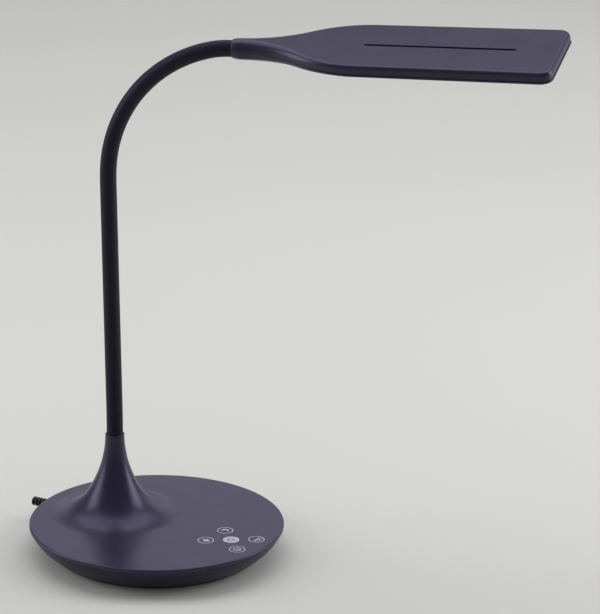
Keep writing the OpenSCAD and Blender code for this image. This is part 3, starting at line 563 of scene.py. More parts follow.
class MeshShop:
    """Turns rings and profiles into mesh objects with their place in the mesh."""

    NORMAL_WEIGHT = 60

    def __init__(self, finishes: FinishShop) -> None:
        """Keeps the finish shop."""
        self._finishes = finishes

    def piece(self, name: str, bm: bmesh.types.BMesh, slot: str, weighted: bool = True) -> bpy.types.Object:
        """Makes an object from a bmesh, in metres, with smooth shading, and reports it.

        Args:
            name: The object's name.
            bm: The mesh in millimetres; it is freed.
            slot: Material slot of its finish.
            weighted: True to let large faces lead the normals.

        Returns:
            The new object.
        """
        bmesh.ops.recalc_face_normals(bm, faces=bm.faces)
        for face in bm.faces:
            face.smooth = True
        bmesh.ops.scale(bm, vec=(MM, MM, MM), verts=bm.verts)
        mesh = bpy.data.meshes.new(name)
        bm.to_mesh(mesh)
        bm.free()
        obj = bpy.data.objects.new(name, mesh)
        bpy.context.scene.collection.objects.link(obj)
        mesh.materials.append(self._finishes.material(slot))
        if weighted:
            normals = obj.modifiers.new("normals", "WEIGHTED_NORMAL")
            normals.weight = self.NORMAL_WEIGHT
            normals.keep_sharp = True
        log.info("%s: %s", name, slot)
        return obj

    @staticmethod
    def lathe(profile: Profile, steps: int, closed: bool = True) -> bmesh.types.BMesh:
        """Spins a profile of radius and height round the z axis.

        Args:
            profile: Points of radius and height, in order.
            steps: Steps round the axis.
            closed: True if the last point joins the first.

        Returns:
            The mesh, in millimetres.
        """
        bm = bmesh.new()
        verts = [bm.verts.new((r, 0.0, z)) for r, z in profile]
        pairs = list(zip(verts, verts[1:]))
        if closed:
            pairs.append((verts[-1], verts[0]))
        edges = [bm.edges.new(pair) for pair in pairs]
        bmesh.ops.spin(
            bm, geom=verts + edges, cent=(0, 0, 0), axis=(0, 0, 1), angle=2 * math.pi, steps=steps,
            use_merge=True,
        )
        bmesh.ops.remove_doubles(bm, verts=bm.verts, dist=MERGE_MM)
        return bm

    @staticmethod
    def ring(bm: bmesh.types.BMesh, places: Sequence[Point | Vector]) -> Ring:
        """Adds a closed ring.

        Args:
            bm: The mesh.
            places: Its corners, in order.

        Returns:
            The ring.
        """
        verts = [bm.verts.new(place) for place in places]
        return Ring(verts, [bm.edges.new((verts[k - 1], verts[k])) for k in range(len(verts))])

    @staticmethod
    def join(bm: bmesh.types.BMesh, low: Ring, high: Ring) -> None:
        """Joins two rings vert by vert, in their own order.

        Args:
            bm: The mesh.
            low: First ring.
            high: Second ring, of the same number of verts.
        """
        for k in range(len(low.verts)):
            bm.faces.new((low.verts[k - 1], low.verts[k], high.verts[k], high.verts[k - 1]))

    @staticmethod
    def loft(bm: bmesh.types.BMesh, rings: Sequence[Ring]) -> None:
        """Joins each ring to the next, all of the same number of verts.

        Args:
            bm: The mesh.
            rings: The rings, in order.
        """
        for low, high in zip(rings, rings[1:]):
            bmesh.ops.bridge_loops(bm, edges=low.edges + high.edges)

    @staticmethod
    def prism(outline: Profile, low: float, high: float) -> bmesh.types.BMesh:
        """Makes a closed upright block from an outline.

        Args:
            outline: Points in x and y, in order.
            low: Height of its lower face.
            high: Height of its upper face.

        Returns:
            The mesh, in millimetres.
        """
        bm = bmesh.new()
        face = bm.faces.new([bm.verts.new((x, y, low)) for x, y in outline])
        risen = bmesh.ops.extrude_face_region(bm, geom=[face], use_keep_orig=True)["geom"]
        verts = [item for item in risen if isinstance(item, bmesh.types.BMVert)]
        bmesh.ops.translate(bm, vec=(0, 0, high - low), verts=verts)
        return bm


def arc(mid: tuple[float, float], r: float, a0: float, a1: float, steps: int) -> Profile:
    """Points on a round stretch of a profile.

    Args:
        mid: The arc's middle.
        r: Its radius.
        a0: First angle in degrees.
        a1: Last angle in degrees.
        steps: Number of stretches.

    Returns:
        The points, both ends included.
    """
    return [
        (mid[0] + r * math.cos(math.radians(a0 + (a1 - a0) * i / steps)),
         mid[1] + r * math.sin(math.radians(a0 + (a1 - a0) * i / steps)))
        for i in range(steps + 1)
    ]


def softened(profile: Profile, radius: float, steps: int = 3, closed: bool = True) -> Profile:
    """Rounds the sharp corners of a profile, so that its edges catch the light.

    Args:
        profile: Points of radius and height.
        radius: Radius of the rounding, cut back where the stretches are short.
        steps: Stretches in each rounding.
        closed: True if the last point joins the first.

    Returns:
        The rounded profile.
    """
    out: Profile = []
    n = len(profile)
    for i, here in enumerate(profile):
        if not closed and i in (0, n - 1):
            out.append(here)
            continue
        p = Vector(profile[i - 1])
        q = Vector(here)
        r = Vector(profile[(i + 1) % n])
        a = p - q
        b = r - q
        if a.length < NEAR_ZERO or b.length < NEAR_ZERO:
            continue
        turn = math.pi - a.angle(b)
        if turn < math.radians(LEAST_TURN_DEG) or q.x < NEAR_ZERO:
            out.append(here)
            continue
        reach = min(radius * math.tan(turn / 2), a.length * ROUND_SHARE, b.length * ROUND_SHARE)
        start = q + a.normalized() * reach
        end = q + b.normalized() * reach
        for k in range(steps + 1):
            t = k / steps
            point = start * (1 - t) ** 2 + q * 2 * t * (1 - t) + end * t * t
            out.append((point.x, point.y))
    return out


# Base


class BaseBuilder:
    """Builds the base's cover with its trumpet, the tray, the pad and the strain relief."""

    STEPS = 288
    FLARE_STEPS = 40
    LONG_STEPS = 60
    RIM_STEPS = 8
    UNDER_STEPS = 5
    SIDE_STEPS = 28
    INSIDE_STEPS = 12
    OUTLET_STEPS = 64
    WELL_STEPS = 40
    PAD_STEPS = 192
    RELIEF_STEPS = 72

    def __init__(self, shop: MeshShop, sizes: BaseSizes, relief: ReliefSizes) -> None:
        """Keeps the mesh shop and the sizes.

        Args:
            shop: The mesh shop.
            sizes: The base's sizes.
            relief: The strain relief's sizes.
        """
        self._shop = shop
        self._s = sizes
        self._relief = relief

    def trumpet(self, inset: float, foot: float, high: float) -> Profile:
        """Profile of the trumpet from its foot up, drawn in by an inset.

        Args:
            inset: Distance inward from the outer surface.
            foot: Radius at which the profile starts.
            high: Height at which it ends.

        Returns:
            Points of radius about the stem's axis, and height.
        """
        s = self._s
        flare_mid = (s.foot_r, s.top_z - s.blend_sink + s.flare_r)
        long_mid = (s.stem_top_r + s.long_r, s.stem_top_z)
        join = math.degrees(math.atan2(flare_mid[1] - long_mid[1], flare_mid[0] - long_mid[0]))
        curve = arc(flare_mid, s.flare_r + inset, -90, join, self.FLARE_STEPS)
        curve += arc(long_mid, s.long_r + inset, join, -180, self.LONG_STEPS)[1:]
        return [p for p in curve if p[0] < foot and p[1] < high]

    def cover(self) -> bpy.types.Object:
        """The top cover: one skin over the trumpet, the plate, the rim and back underneath.

        Returns:
            The piece.
        """
        s = self._s
        bm = bmesh.new()
        angles = [2 * math.pi * k / self.STEPS for k in range(self.STEPS)]

        def about_stem(profile: Profile) -> list[Ring]:
            """Rings round the stem's axis, one for each point of a profile.

            Args:
                profile: Points of radius and height.

            Returns:
                The rings.
            """
            return [
                MeshShop.ring(bm, [(s.stem_x + r * math.cos(a), r * math.sin(a), z) for a in angles])
                for r, z in profile
            ]

        def about_middle(profile: Profile) -> list[Ring]:
            """Rings round the base's middle, with each vert in line with the stem's axis and its angle.

            Args:
                profile: Points of radius and height.

            Returns:
                The rings.
            """
            rings = []
            for r, z in profile:
                places = []
                for a in angles:
                    # Where a line from the stem's axis at this angle meets the circle round the base's middle
                    c = s.stem_x * math.cos(a)
                    reach = -c + math.sqrt(c * c + r * r - s.stem_x * s.stem_x)
                    places.append((s.stem_x + reach * math.cos(a), reach * math.sin(a), z))
                rings.append(MeshShop.ring(bm, places))
            return rings

        top = s.stem_top_z
        under = s.top_z - s.wall
        skin = self.trumpet(0, s.foot_r, top - s.mouth_skin)
        skin.reverse()
        mouth = softened(
            [
                (s.bushing_r, top - s.mouth_in),
                (s.bushing_r, top),
                (s.stem_top_r, top),
                (s.stem_top_r, top - s.mouth_side),
            ],
            s.mouth_round, steps=4, closed=False,
        )
        outer = about_stem(mouth[:-1] + skin + [(s.foot_r, s.top_z)])
        under_lip = s.top_z - s.lip_h
        over = (s.rim_r - s.rim_round, s.top_z - s.rim_round)
        below = (s.rim_r - s.under_round, under_lip + s.under_round)
        rim = (
            [(s.rim_r - s.rim_round - s.plate_edge, s.top_z)]
            + arc(over, s.rim_round, 90, 0, self.RIM_STEPS)
            + arc(below, s.under_round, 0, -90, self.UNDER_STEPS)
            + softened(
                [
                    (s.rim_r - s.under_round - s.skirt_edge, under_lip),
                    (s.skirt_r, under_lip),
                    (s.skirt_r, under_lip - s.skirt_h),
                    (s.skirt_r - s.skirt_t, under_lip - s.skirt_h),
                    (s.skirt_r - s.skirt_t, under),
                ],
                s.edge_round, closed=False,
            )
        )
        middle = about_middle(rim)
        hollow_top = top - s.bushing_len
        inner = about_stem(
            [(s.hollow_r, under)] + self.trumpet(s.wall, s.hollow_r, hollow_top) + [(s.bushing_r, hollow_top)]
        )
        # Joined vert by vert, because this closed skin came out wrong with the bridge operator
        rings = outer + middle + inner
        for low, high in zip(rings, rings[1:] + rings[:1]):
            MeshShop.join(bm, low, high)
        obj = self._shop.piece("base_cover_skin", bm, "housing")
        carve(obj, self._notch_cutter())
        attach(obj, "base")
        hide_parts("base_cover")
        return obj

    def _notch_cutter(self) -> bmesh.types.BMesh:
        """Room in the cover's skirt for the lead's outlet.

        Returns:
            The shape to take away, in millimetres.
        """
        s = self._s
        bm = bmesh.new()
        r = s.outlet_r + s.notch_gap
        middle = Matrix.Translation((-(s.skirt_r - s.skirt_t / 2), 0, s.outlet_z))
        bmesh.ops.create_cone(
            bm, cap_ends=True, segments=self.OUTLET_STEPS, radius1=r, radius2=r, depth=s.skirt_t + CUT_OVER,
            matrix=middle @ Matrix.Rotation(math.radians(-90), 4, "Y"),
        )
        return bm

    def _side_r(self, z: float) -> float:
        """Outer radius of the tray's bulging side.

        Args:
            z: Height.

        Returns:
            The radius.
        """
        s = self._s
        low = s.tray_bottom_z + s.tray_edge
        high = s.tray_top_z - s.tray_band
        u = (z - low) / (high - low)
        return s.bottom_r + (s.tray_top_r - s.bottom_r) * u + 4 * s.side_bulge * u * (1 - u)

    def _side(self, start: float, end: float, steps: int, inset: float) -> Profile:
        """Points along the tray's side.

        Args:
            start: First height.
            end: Last height.
            steps: Stretches between them.
            inset: Distance inward from the outer surface.

        Returns:
            Points of radius and height.
        """
        heights = [start + (end - start) * i / steps for i in range(steps + 1)]
        return [(self._side_r(z) - inset, z) for z in heights]

    def tray(self) -> bpy.types.Object:
        """The lower tray, with its pad seat, screw wells and the lead's outlet.

        Returns:
            The tray, without the outlet.
        """
        s = self._s
        low = s.tray_bottom_z + s.tray_edge
        band = s.tray_top_z - s.tray_band
        floor_z = low + s.floor_t
        seat_r = s.pad_r + s.pad_gap
        profile = softened(
            [(0.0, s.pad_seat_z), (seat_r, s.pad_seat_z), (seat_r, s.tray_bottom_z)]
            + [(s.bottom_r - s.tray_edge, s.tray_bottom_z)]
            + self._side(low, band, self.SIDE_STEPS, 0.0)
            + [(s.tray_top_r, s.tray_top_z), (s.tray_top_r - s.wall, s.tray_top_z)]
            + self._side(band, floor_z + s.floor_round, self.INSIDE_STEPS, s.wall)
            + [(0.0, floor_z)],
            s.edge_round, closed=False,
        )
        shell = MeshShop.lathe(profile, self.STEPS, closed=False)
        obj = self._shop.piece("base_tray_shell", shell, "housing_dark")
        tube = softened(
            [
                (s.outlet_bore_r, s.outlet_x0),
                (s.outlet_r, s.outlet_x0),
                (s.outlet_r, s.outlet_x1),
                (s.outlet_bore_r, s.outlet_x1),
            ],
            s.outlet_round, steps=4,
        )
        outlet = self._shop.piece("base_outlet", MeshShop.lathe(tube, self.OUTLET_STEPS), "housing_dark")
        outlet.data.transform(self._outlet_turn())
        for piece in (obj, outlet):
            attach(piece, "base")
        self._wells(obj)
        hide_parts("base_tray")
        return obj

    def _outlet_turn(self) -> Matrix:
        """Turns a lathe's axis to point out of the back of the base, at the outlet's height."""
        turn = Matrix.Rotation(math.radians(-90), 4, "Y")
        return Matrix.Translation((0, 0, self._s.outlet_z * MM)) @ turn

    def _wells(self, obj: bpy.types.Object) -> None:
        """Cuts the four screw wells into the tray's underside.

        Args:
            obj: The tray.
        """
        s = self._s
        bm = bmesh.new()
        for k in range(4):
            a = math.radians(45 + 90 * k)
            at = (s.screw_circle * math.cos(a), s.screw_circle * math.sin(a), s.tray_bottom_z)
            bmesh.ops.create_cone(
                bm, cap_ends=True, segments=self.WELL_STEPS, radius1=s.screw_well_r, radius2=s.screw_well_r,
                depth=2 * (s.screw_well_h - s.tray_bottom_z), matrix=Matrix.Translation(at),
            )
        carve(obj, bm)

    def pad(self) -> bpy.types.Object:
        """The non-slip pad, with shallow rings moulded in its underside.

        Returns:
            The piece.
        """
        s = self._s
        deep = s.grip_depth
        under: Profile = [(0.0, deep)]
        ring = s.grip_start
        while ring + s.grip_pitch < s.pad_r - s.grip_edge:
            land = ring + s.grip_land
            under += [(ring, deep), (ring + deep, 0.0), (land, 0.0), (land + deep, deep)]
            ring += s.grip_pitch
        profile = under + [
            (s.pad_r - 2 * s.grip_edge, 0.0),
            (s.pad_r - s.pad_round, 0.0),
            (s.pad_r, s.pad_round),
            (s.pad_r, s.pad_t),
            (0.0, s.pad_t),
        ]
        disc = MeshShop.lathe(profile, self.PAD_STEPS, closed=False)
        obj = self._shop.piece("foot_pad_grip", disc, "pad")
        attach(obj, "base")
        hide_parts("foot_pad")
        return obj

    def strain_relief(self) -> bpy.types.Object:
        """The ribbed strain relief: rounded ribs on a tapering core, open at the end for the lead.

        Returns:
            The piece.
        """
        s, r = self._s, self._relief
        seat = s.outlet_x1 + r.seat_gap
        root = s.outlet_x1 + r.flange_t
        pitch = r.length / r.ribs
        profile: Profile = [(r.flange_r, seat), (r.flange_r, root)]
        for i in range(r.ribs):
            z = root + i * pitch
            share = i / (r.ribs - 1)
            core = r.core_r + (r.tip_r - r.core_r) * share
            rib = r.rib_r - (r.core_r - r.tip_r) * share
            gap = pitch * (1 - r.rib_share)
            draft = (rib - core) * r.rib_draft
            profile += [(core, z), (core, z + gap), (rib, z + gap + draft), (rib, z + pitch - draft)]
        end = root + r.length
        profile += [(r.tip_r, end), (r.bore_r, end), (r.bore_r, end - r.bore_len), (0.0, end - r.bore_len)]
        profile = [(0.0, seat)] + softened(profile, r.rib_round, closed=False)
        boot = MeshShop.lathe(profile, self.RELIEF_STEPS, closed=False)
        obj = self._shop.piece("strain_relief_ribs", boot, "relief")
        obj.data.transform(self._outlet_turn())
        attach(obj, "base")
        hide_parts("strain_relief")
        return obj

    def build(self) -> None:
        """Builds every piece of the base."""
        self.cover()
        self.tray()
        self.pad()
        self.strain_relief()


def carve(obj: bpy.types.Object, cutter_bm: bmesh.types.BMesh) -> None:
    """Cuts a shape out of a piece, for good.

    Args:
        obj: The piece, in metres.
        cutter_bm: The shape to take away, in millimetres; it is freed.
    """
    bmesh.ops.recalc_face_normals(cutter_bm, faces=cutter_bm.faces)
    bmesh.ops.scale(cutter_bm, vec=(MM, MM, MM), verts=cutter_bm.verts)
    mesh = bpy.data.meshes.new("cutter")
    cutter_bm.to_mesh(mesh)
    cutter_bm.free()
    cutter = bpy.data.objects.new("cutter", mesh)
    bpy.context.scene.collection.objects.link(cutter)
    cut = obj.modifiers.new("cut", "BOOLEAN")
    cut.operation = "DIFFERENCE"
    cut.solver = "EXACT"
    cut.object = cutter
    while obj.modifiers[0] != cut:
        obj.modifiers.move(obj.modifiers.find(cut.name), 0)
    others = [m for m in obj.modifiers if m != cut]
    for modifier in others:
        modifier.show_viewport = False
    bpy.context.view_layer.update()
    result = bpy.data.meshes.new_from_object(obj.evaluated_get(bpy.context.evaluated_depsgraph_get()))
    for modifier in others:
        modifier.show_viewport = True
    obj.modifiers.remove(cut)
    old = obj.data
    obj.data = result
    bpy.data.meshes.remove(old)
    bpy.data.objects.remove(cutter)
    bpy.data.meshes.remove(mesh)
    bm = bmesh.new()
    bm.from_mesh(obj.data)
    bmesh.ops.remove_doubles(bm, verts=bm.verts, dist=MERGE_M)
    for face in bm.faces:
        face.smooth = True
    for edge in bm.edges:
        between = len(edge.link_faces) == 2
        edge.smooth = not (between and edge.calc_face_angle(0.0) > math.radians(SHARP_DEG))
    bm.to_mesh(obj.data)
    bm.free()


# Neck


class NeckPath:
    """The middle line of the neck, in the row frame."""

    def __init__(self, neck: NeckSizes, base: BaseSizes, head: HeadSizes) -> None:
        """Works out the place and heading at the start of every stretch.

        Args:
            neck: The neck's sizes.
            base: The base's sizes.
            head: The head's sizes.
        """
        self._n = neck
        self._base = base
        self._head = head
        self.frames: list[tuple[Vector, float]] = []
        at = Vector((0.0, base.stem_top_z))
        for i, (length, turn) in enumerate(zip(neck.lengths, neck.turns)):
            heading = self._heading(i)
            self.frames.append((at.copy(), heading))
            at = at + self._step(heading, length, turn, length)
        self.end = at

    def _heading(self, i: int) -> float:
        """Heading at the start of a stretch, in degrees up from level.

        Args:
            i: Number of the stretch.

        Returns:
            The heading.
        """
        n = self._n
        if i == 0:
            return 90.0
        if i == len(n.lengths) - 1:
            return self._head.pitch
        return 90.0 + n.lean - max(0, i - 1 - n.straight_count) * n.curve_turn

    @staticmethod
    def _step(heading: float, length: float, turn: float, along: float) -> Vector:
        """Way from a stretch's start to a place along it.

        Args:
            heading: Heading at its start, in degrees.
            length: The whole stretch's length.
            turn: Its turn, in degrees.
            along: Distance along it.

        Returns:
            The way, in the neck's plane.
        """
        a = math.radians(heading)
        if turn == 0.0:
            return Vector((math.cos(a), math.sin(a))) * along
        r = length / math.radians(turn)
        e = a - along / r
        return Vector((r * math.sin(a) - r * math.sin(e), -r * math.cos(a) + r * math.cos(e)))

    def flat(self, i: int, along: float) -> Vector:
        """Place in the neck's plane at a distance along stretch i."""
        at, heading = self.frames[i]
        return at + self._step(heading, self._n.lengths[i], self._n.turns[i], along)

    def place(self, flat: Vector) -> Vector:
        """Turns a place in the neck's plane into the row frame, in millimetres."""
        swing = math.radians(self._n.swing)
        return Vector((self._base.stem_x + flat.x * math.cos(swing), flat.x * math.sin(swing), flat.y))

    def joint(self, i: int) -> Vector:
        """Place of the joint at the start of stretch i, in the row frame."""
        return self.place(self.frames[i][0])


class NeckBuilder:
    """Builds the sleeve as smooth stretches, each running across one joint of the neck."""

    SIDES = 64
    RING_STEP = 1.6
    LEAST_RINGS = 4
    EASE_POINTS = 9
    LEAST_REACH = 0.01
    BESIDE = 0.5

    def __init__(self, shop: MeshShop, sizes: NeckSizes, path: NeckPath) -> None:
        """Keeps the mesh shop, the sizes and the middle line.

        Args:
            shop: The mesh shop.
            sizes: The neck's sizes.
            path: The neck's middle line.
        """
        self._shop = shop
        self._n = sizes
        self._path = path

    def _smooth_line(self, start: float, end: float, count: int) -> list[Vector]:
        """Points along the whole middle line between two lengths, with the kinks at joints eased.

        Args:
            start: First length.
            end: Last length.
            count: Stretches between them.

        Returns:
            Places in the neck's plane.
        """
        n = self._n
        edges = n.edges

        def at(s: float) -> Vector:
            """Place at a length, before any easing."""
            i = next((k for k, edge in enumerate(edges[1:]) if s < edge), len(n.lengths) - 1)
            return self._path.flat(i, s - edges[i])

        out = []
        for k in range(count + 1):
            s = start + (end - start) * k / count
            reach = min(n.smooth_half, s, edges[-1] - s)
            if reach <= self.LEAST_REACH:
                out.append(at(s))
                continue
            total = Vector((0.0, 0.0))
            for q in range(self.EASE_POINTS):
                total += at(s + reach * (2 * q / (self.EASE_POINTS - 1) - 1))
            out.append(total / self.EASE_POINTS)
        return out

    def _tube(self, line: list[Vector], r: float) -> tuple[bmesh.types.BMesh, list[Vector]]:
        """Sweeps a round tube along a line.

        Args:
            line: Places in the neck's plane.
            r: The tube's radius.

        Returns:
            The mesh, and the outward direction at each of its verts.
        """
        bm = bmesh.new()
        outward: list[Vector] = []
        swing = math.radians(self._n.swing)
        side = Vector((-math.sin(swing), math.cos(swing), 0.0))
        places = [self._path.place(p) for p in line]
        rings = []
        for i, here in enumerate(places):
            way = (places[min(i + 1, len(places) - 1)] - places[max(i - 1, 0)]).normalized()
            across = way.cross(side).normalized()
            spokes = [
                math.cos(a) * across + math.sin(a) * side
                for a in (2 * math.pi * k / self.SIDES for k in range(self.SIDES))
            ]
            outward += spokes
            rings.append(MeshShop.ring(bm, [here + r * spoke for spoke in spokes]))
        MeshShop.loft(bm, rings)
        return bm, outward

    def build(self) -> None:
        """Builds the stretches of the sleeve from the trumpet to the head's collar."""
        n = self._n
        edges = n.edges
        middles = [(a + b) / 2 for a, b in zip(edges, edges[1:])]
        cuts = [n.root_gap] + middles[:-1] + [edges[-1] + n.mouth_len]
        total = edges[-1]
        for k in range(len(cuts) - 1):
            start, end = cuts[k], min(cuts[k + 1], total)
            count = max(self.LEAST_RINGS, round((end - start) / self.RING_STEP))
            line = self._smooth_line(start, end, count)
            if cuts[k + 1] > total:
                way = (line[-1] - line[-2]).normalized()
                line.append(line[-1] + way * n.mouth_len)
            tube, outward = self._tube(line, n.radius)
            obj = self._shop.piece(f"neck_skin_{k + 1}", tube, "sleeve", weighted=False)
            obj.data.normals_split_custom_set_from_vertices(outward)
            if k == 0:
                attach(obj, "neck_1")
            else:
                joint = self._path.joint(k)
                after = self._path.place(self._path.flat(k, self.BESIDE))
                before = self._path.place(self._path.flat(k - 1, n.lengths[k - 1] - self.BESIDE))
                shorter = min(n.lengths[k], n.lengths[k - 1])
                reach = min(n.blend_half, shorter / 2 - self.BESIDE)
                way = (after - before).normalized() * reach
                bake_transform(obj)
            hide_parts(f"neck_sleeve_{k + 1}")


# Head


class HeadBuilder:
    """Builds the head's upper shell and lower frame as smooth closed skins."""

    CONE_STEPS = 16
    COLLAR_STEPS = 128
    MOUTH_STEPS = 96
    WELL_STEPS = 36
    SLOT_STEPS = 12
    CORNER_STEPS = 9
    NEAR_MM = 0.05
    STEEP = 0.5

    def __init__(self, shop: MeshShop, sizes: HeadSizes, neck: NeckSizes, path: NeckPath) -> None:
        """Keeps the mesh shop and the sizes, and works out the head's side.

        Args:
            shop: The mesh shop.
            sizes: The head's sizes.
            neck: The neck's sizes.
            path: The neck's middle line, at whose end the head sits.
        """
        self._shop = shop
        self._h = sizes
        self._neck = neck
        self._path = path
        self._sides = self._side_places()

    @property
    def placing(self) -> Matrix:
        """Places the head's own frame in the row frame, in metres.

        Returns:
            The matrix.
        """
        h = self._h
        return (
            Matrix.Translation(self._path.place(self._path.end) * MM)
            @ Matrix.Rotation(math.radians(self._neck.swing), 4, "Z")
            @ Matrix.Rotation(math.radians(-h.pitch), 4, "Y")
            @ Matrix.Rotation(math.radians(h.roll), 4, "X")
        )

    def _side_places(self) -> list[tuple[float, float, float, float]]:
        """Places along the head's side, with the direction that points outward.

        Returns:
            x, y and the outward direction's x and y, from the collar to the tip.
        """
        h = self._h
        run, rise = h.flare_len - h.flare_start, h.flare_half - h.collar_r
        r = (run * run + rise * rise) / (4 * rise)
        places = []
        for i in range(h.steps_flare + 1):
            x = h.flare_start + run * i / h.steps_flare
            if x < h.flare_start + run / 2:
                y = h.collar_r + r - math.sqrt(r * r - (x - h.flare_start) ** 2)
                places.append((x, y, (h.flare_start - x) / r, (h.collar_r + r - y) / r))
            else:
                y = h.flare_half - r + math.sqrt(r * r - (h.flare_len - x) ** 2)
                places.append((x, y, (x - h.flare_len) / r, (y - h.flare_half + r) / r))
        for i in range(1, h.steps_side):
            x = h.flare_len + (h.length - h.corner_r - h.flare_len) * i / h.steps_side
            places.append((x, h.flare_half + h.side_spread * i / h.steps_side, 0.0, 1.0))
        for i in range(h.steps_tip + 1):
            a = math.radians(90 - 90 * i / h.steps_tip)
            places.append(
                (
                    h.length - h.corner_r + h.corner_r * math.cos(a),
                    h.half_w - h.corner_r + h.corner_r * math.sin(a),
                    math.cos(a),
                    math.sin(a),
                )
            )
        return places

    def _flatness(self, x: float) -> float:
        """How far the collar's round shape has turned into the flat one.

        Args:
            x: Distance from the collar's rim.

        Returns:
            0 on the collar, 1 on the flat head.
        """
        h = self._h
        run = (h.flare_len - h.flare_start) * h.blend_share
        u = min(max((x - h.flare_start) / run, 0.0), 1.0)
        return u * u * (3 - 2 * u)

    def _ring(
        self, bm: bmesh.types.BMesh, inset: Callable[[float], float], height: Callable[[float], float]
    ) -> Ring:
        """One closed ring round the head at one level of its side.

        Args:
            bm: The mesh.
            inset: Distance inward for a flatness.
            height: Height for a flatness.

        Returns:
            The ring.
        """
        half = []
        for x, y, nx, ny in self._sides:
            u = self._flatness(x)
            half.append((x - inset(u) * nx, y - inset(u) * ny, height(u)))
        tip = half[-1]
        steps = self._h.steps_end
        end = [(tip[0], tip[1] * (1 - 2 * i / steps), tip[2]) for i in range(1, steps)]
        back = [(x, -y, z) for x, y, z in reversed(half)]
        return MeshShop.ring(bm, half + end + back)

    def _cap(self, bm: bmesh.types.BMesh, ring: Ring) -> None:
        """Closes a ring with strips across the head, and its straight end with one face.

        Args:
            bm: The mesh.
            ring: The ring.
        """
        n = len(ring.verts)
        count = len(self._sides)
        left = ring.edges[1:count]
        right = ring.edges[n - count + 1 : n]
        bmesh.ops.bridge_loops(bm, edges=left + right)
        across = bm.edges.get((ring.verts[count - 1], ring.verts[n - count]))
        bmesh.ops.contextual_create(bm, geom=ring.edges[count : n - count + 1] + [across])

    @staticmethod
    def _mix(a: float, b: float, u: float) -> float:
        """A value between a and b."""
        return a + (b - a) * u

    def _shell(
        self,
        name: str,
        parting: Sequence[tuple[float, float]],
        radii: tuple[float, float],
        lap: float,
        face_z: float,
        lip: float = 0.0,
    ) -> bpy.types.Object:
        """One closed half of the head, from the parting line over a rounded edge to a flat face.

        Args:
            name: The piece's name.
            parting: Inset and distance from the parting line of the first rings.
            radii: Radius of the rounded edge on the collar and on the flat head.
            lap: Width of the flat face's first strip on the collar.
            face_z: Height of the flat face, above 0 for the upper half.
            lip: Distance by which the flat head's side stands out.

        Returns:
            The piece, in the head's own frame.
        """
        h = self._h
        bm = bmesh.new()
        up = math.copysign(1.0, face_z)
        round_r, edge_r = radii

        def corner(u: float) -> float:
            """Radius of the rounded edge at a flatness."""
            return self._mix(round_r, edge_r, u)

        def face(u: float) -> float:
            """Height of the face at a flatness."""
            return self._mix(up * h.collar_r, face_z, u)

        rings = [
            self._ring(bm, lambda u, d=inset: (d - lip) * u, lambda u, d=away: h.split_z + up * d)
            for inset, away in parting
        ]
        for k in range(h.steps_edge + 1):
            a = math.radians(90 * k / h.steps_edge)
            rings.append(
                self._ring(
                    bm,
                    lambda u, a=a: corner(u) * (1 - math.cos(a)) - lip * u,
                    lambda u, a=a: face(u) - up * corner(u) * (1 - math.sin(a)),
                )
            )
        rings.append(
            self._ring(bm, lambda u: self._mix(round_r + lap, edge_r + h.crown_in, u) - lip * u, face)
        )
        MeshShop.loft(bm, rings)
        self._cap(bm, rings[0])
        self._cap(bm, rings[-1])
        return self._shop.piece(name, bm, "housing")

    def upper_shell(self) -> bpy.types.Object:
        """The upper shell with its vent slot, rounded upper edge and collar.

        Returns:
            The piece.
        """
        h = self._h
        radii = (h.collar_r - h.collar_flat, h.edge_r)
        obj = self._shell("head_shell_skin", h.shell_parting, radii, h.collar_lap, h.top_z)
        carve(obj, self._slot_cutter())
        self._soften_slot(obj)
        carve(obj, self._mouth_cutter())
        obj.data.transform(self.placing)
        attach(obj, "head")
        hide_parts("head_shell")
        return obj

    def _slot_cutter(self) -> bmesh.types.BMesh:
        """The vent slot's room, with round ends.

        Returns:
            The shape to take away, in millimetres.
        """
        h = self._h
        r = h.slot_w / 2
        outline = arc((h.slot_x0 + h.slot_len - r, 0.0), r, -90, 90, self.SLOT_STEPS)
        outline += arc((h.slot_x0 + r, 0.0), r, 90, 270, self.SLOT_STEPS)
        return MeshShop.prism(outline, h.top_z - h.slot_depth, h.top_z + CUT_OVER)

    def _soften_slot(self, obj: bpy.types.Object) -> None:
        """Rounds the slot's upper edge a little, so that it catches the light.

        Args:
            obj: The upper shell, in its own frame.
        """
        h = self._h
        near = self.NEAR_MM * MM

        def on_rim(edge: bmesh.types.BMEdge) -> bool:
            """Whether an edge lies on the slot's upper edge, beside a wall.

            Args:
                edge: An edge of the shell.

            Returns:
                True on the slot's upper edge.
            """
            level = all(abs(v.co.z - h.top_z * MM) < near for v in edge.verts)
            narrow = all(abs(v.co.y) < h.slot_w / 2 * MM + near for v in edge.verts)
            start = h.slot_x0 * MM - near
            within = all(start < v.co.x < start + h.slot_len * MM + 2 * near for v in edge.verts)
            beside_wall = any(abs(f.normal.z) < self.STEEP for f in edge.link_faces)
            return level and narrow and within and beside_wall

        bm = bmesh.new()
        bm.from_mesh(obj.data)
        rim = [edge for edge in bm.edges if on_rim(edge)]
        bmesh.ops.bevel(
            bm, geom=rim, offset=h.slot_round * MM, affect="EDGES", segments=3, profile=0.5, material=-1
        )
        for face in bm.faces:
            face.smooth = True
        bm.to_mesh(obj.data)
        bm.free()

    def _mouth_cutter(self) -> bmesh.types.BMesh:
        """The collar's mouth, for the neck.

        Returns:
            The shape to take away, in millimetres.
        """
        h = self._h
        bm = bmesh.new()
        bmesh.ops.create_cone(
            bm, cap_ends=True, segments=self.MOUTH_STEPS, radius1=h.mouth_r, radius2=h.mouth_r,
            depth=2 * h.mouth_len, matrix=Matrix.Rotation(math.radians(90), 4, "Y"),
        )
        return bm

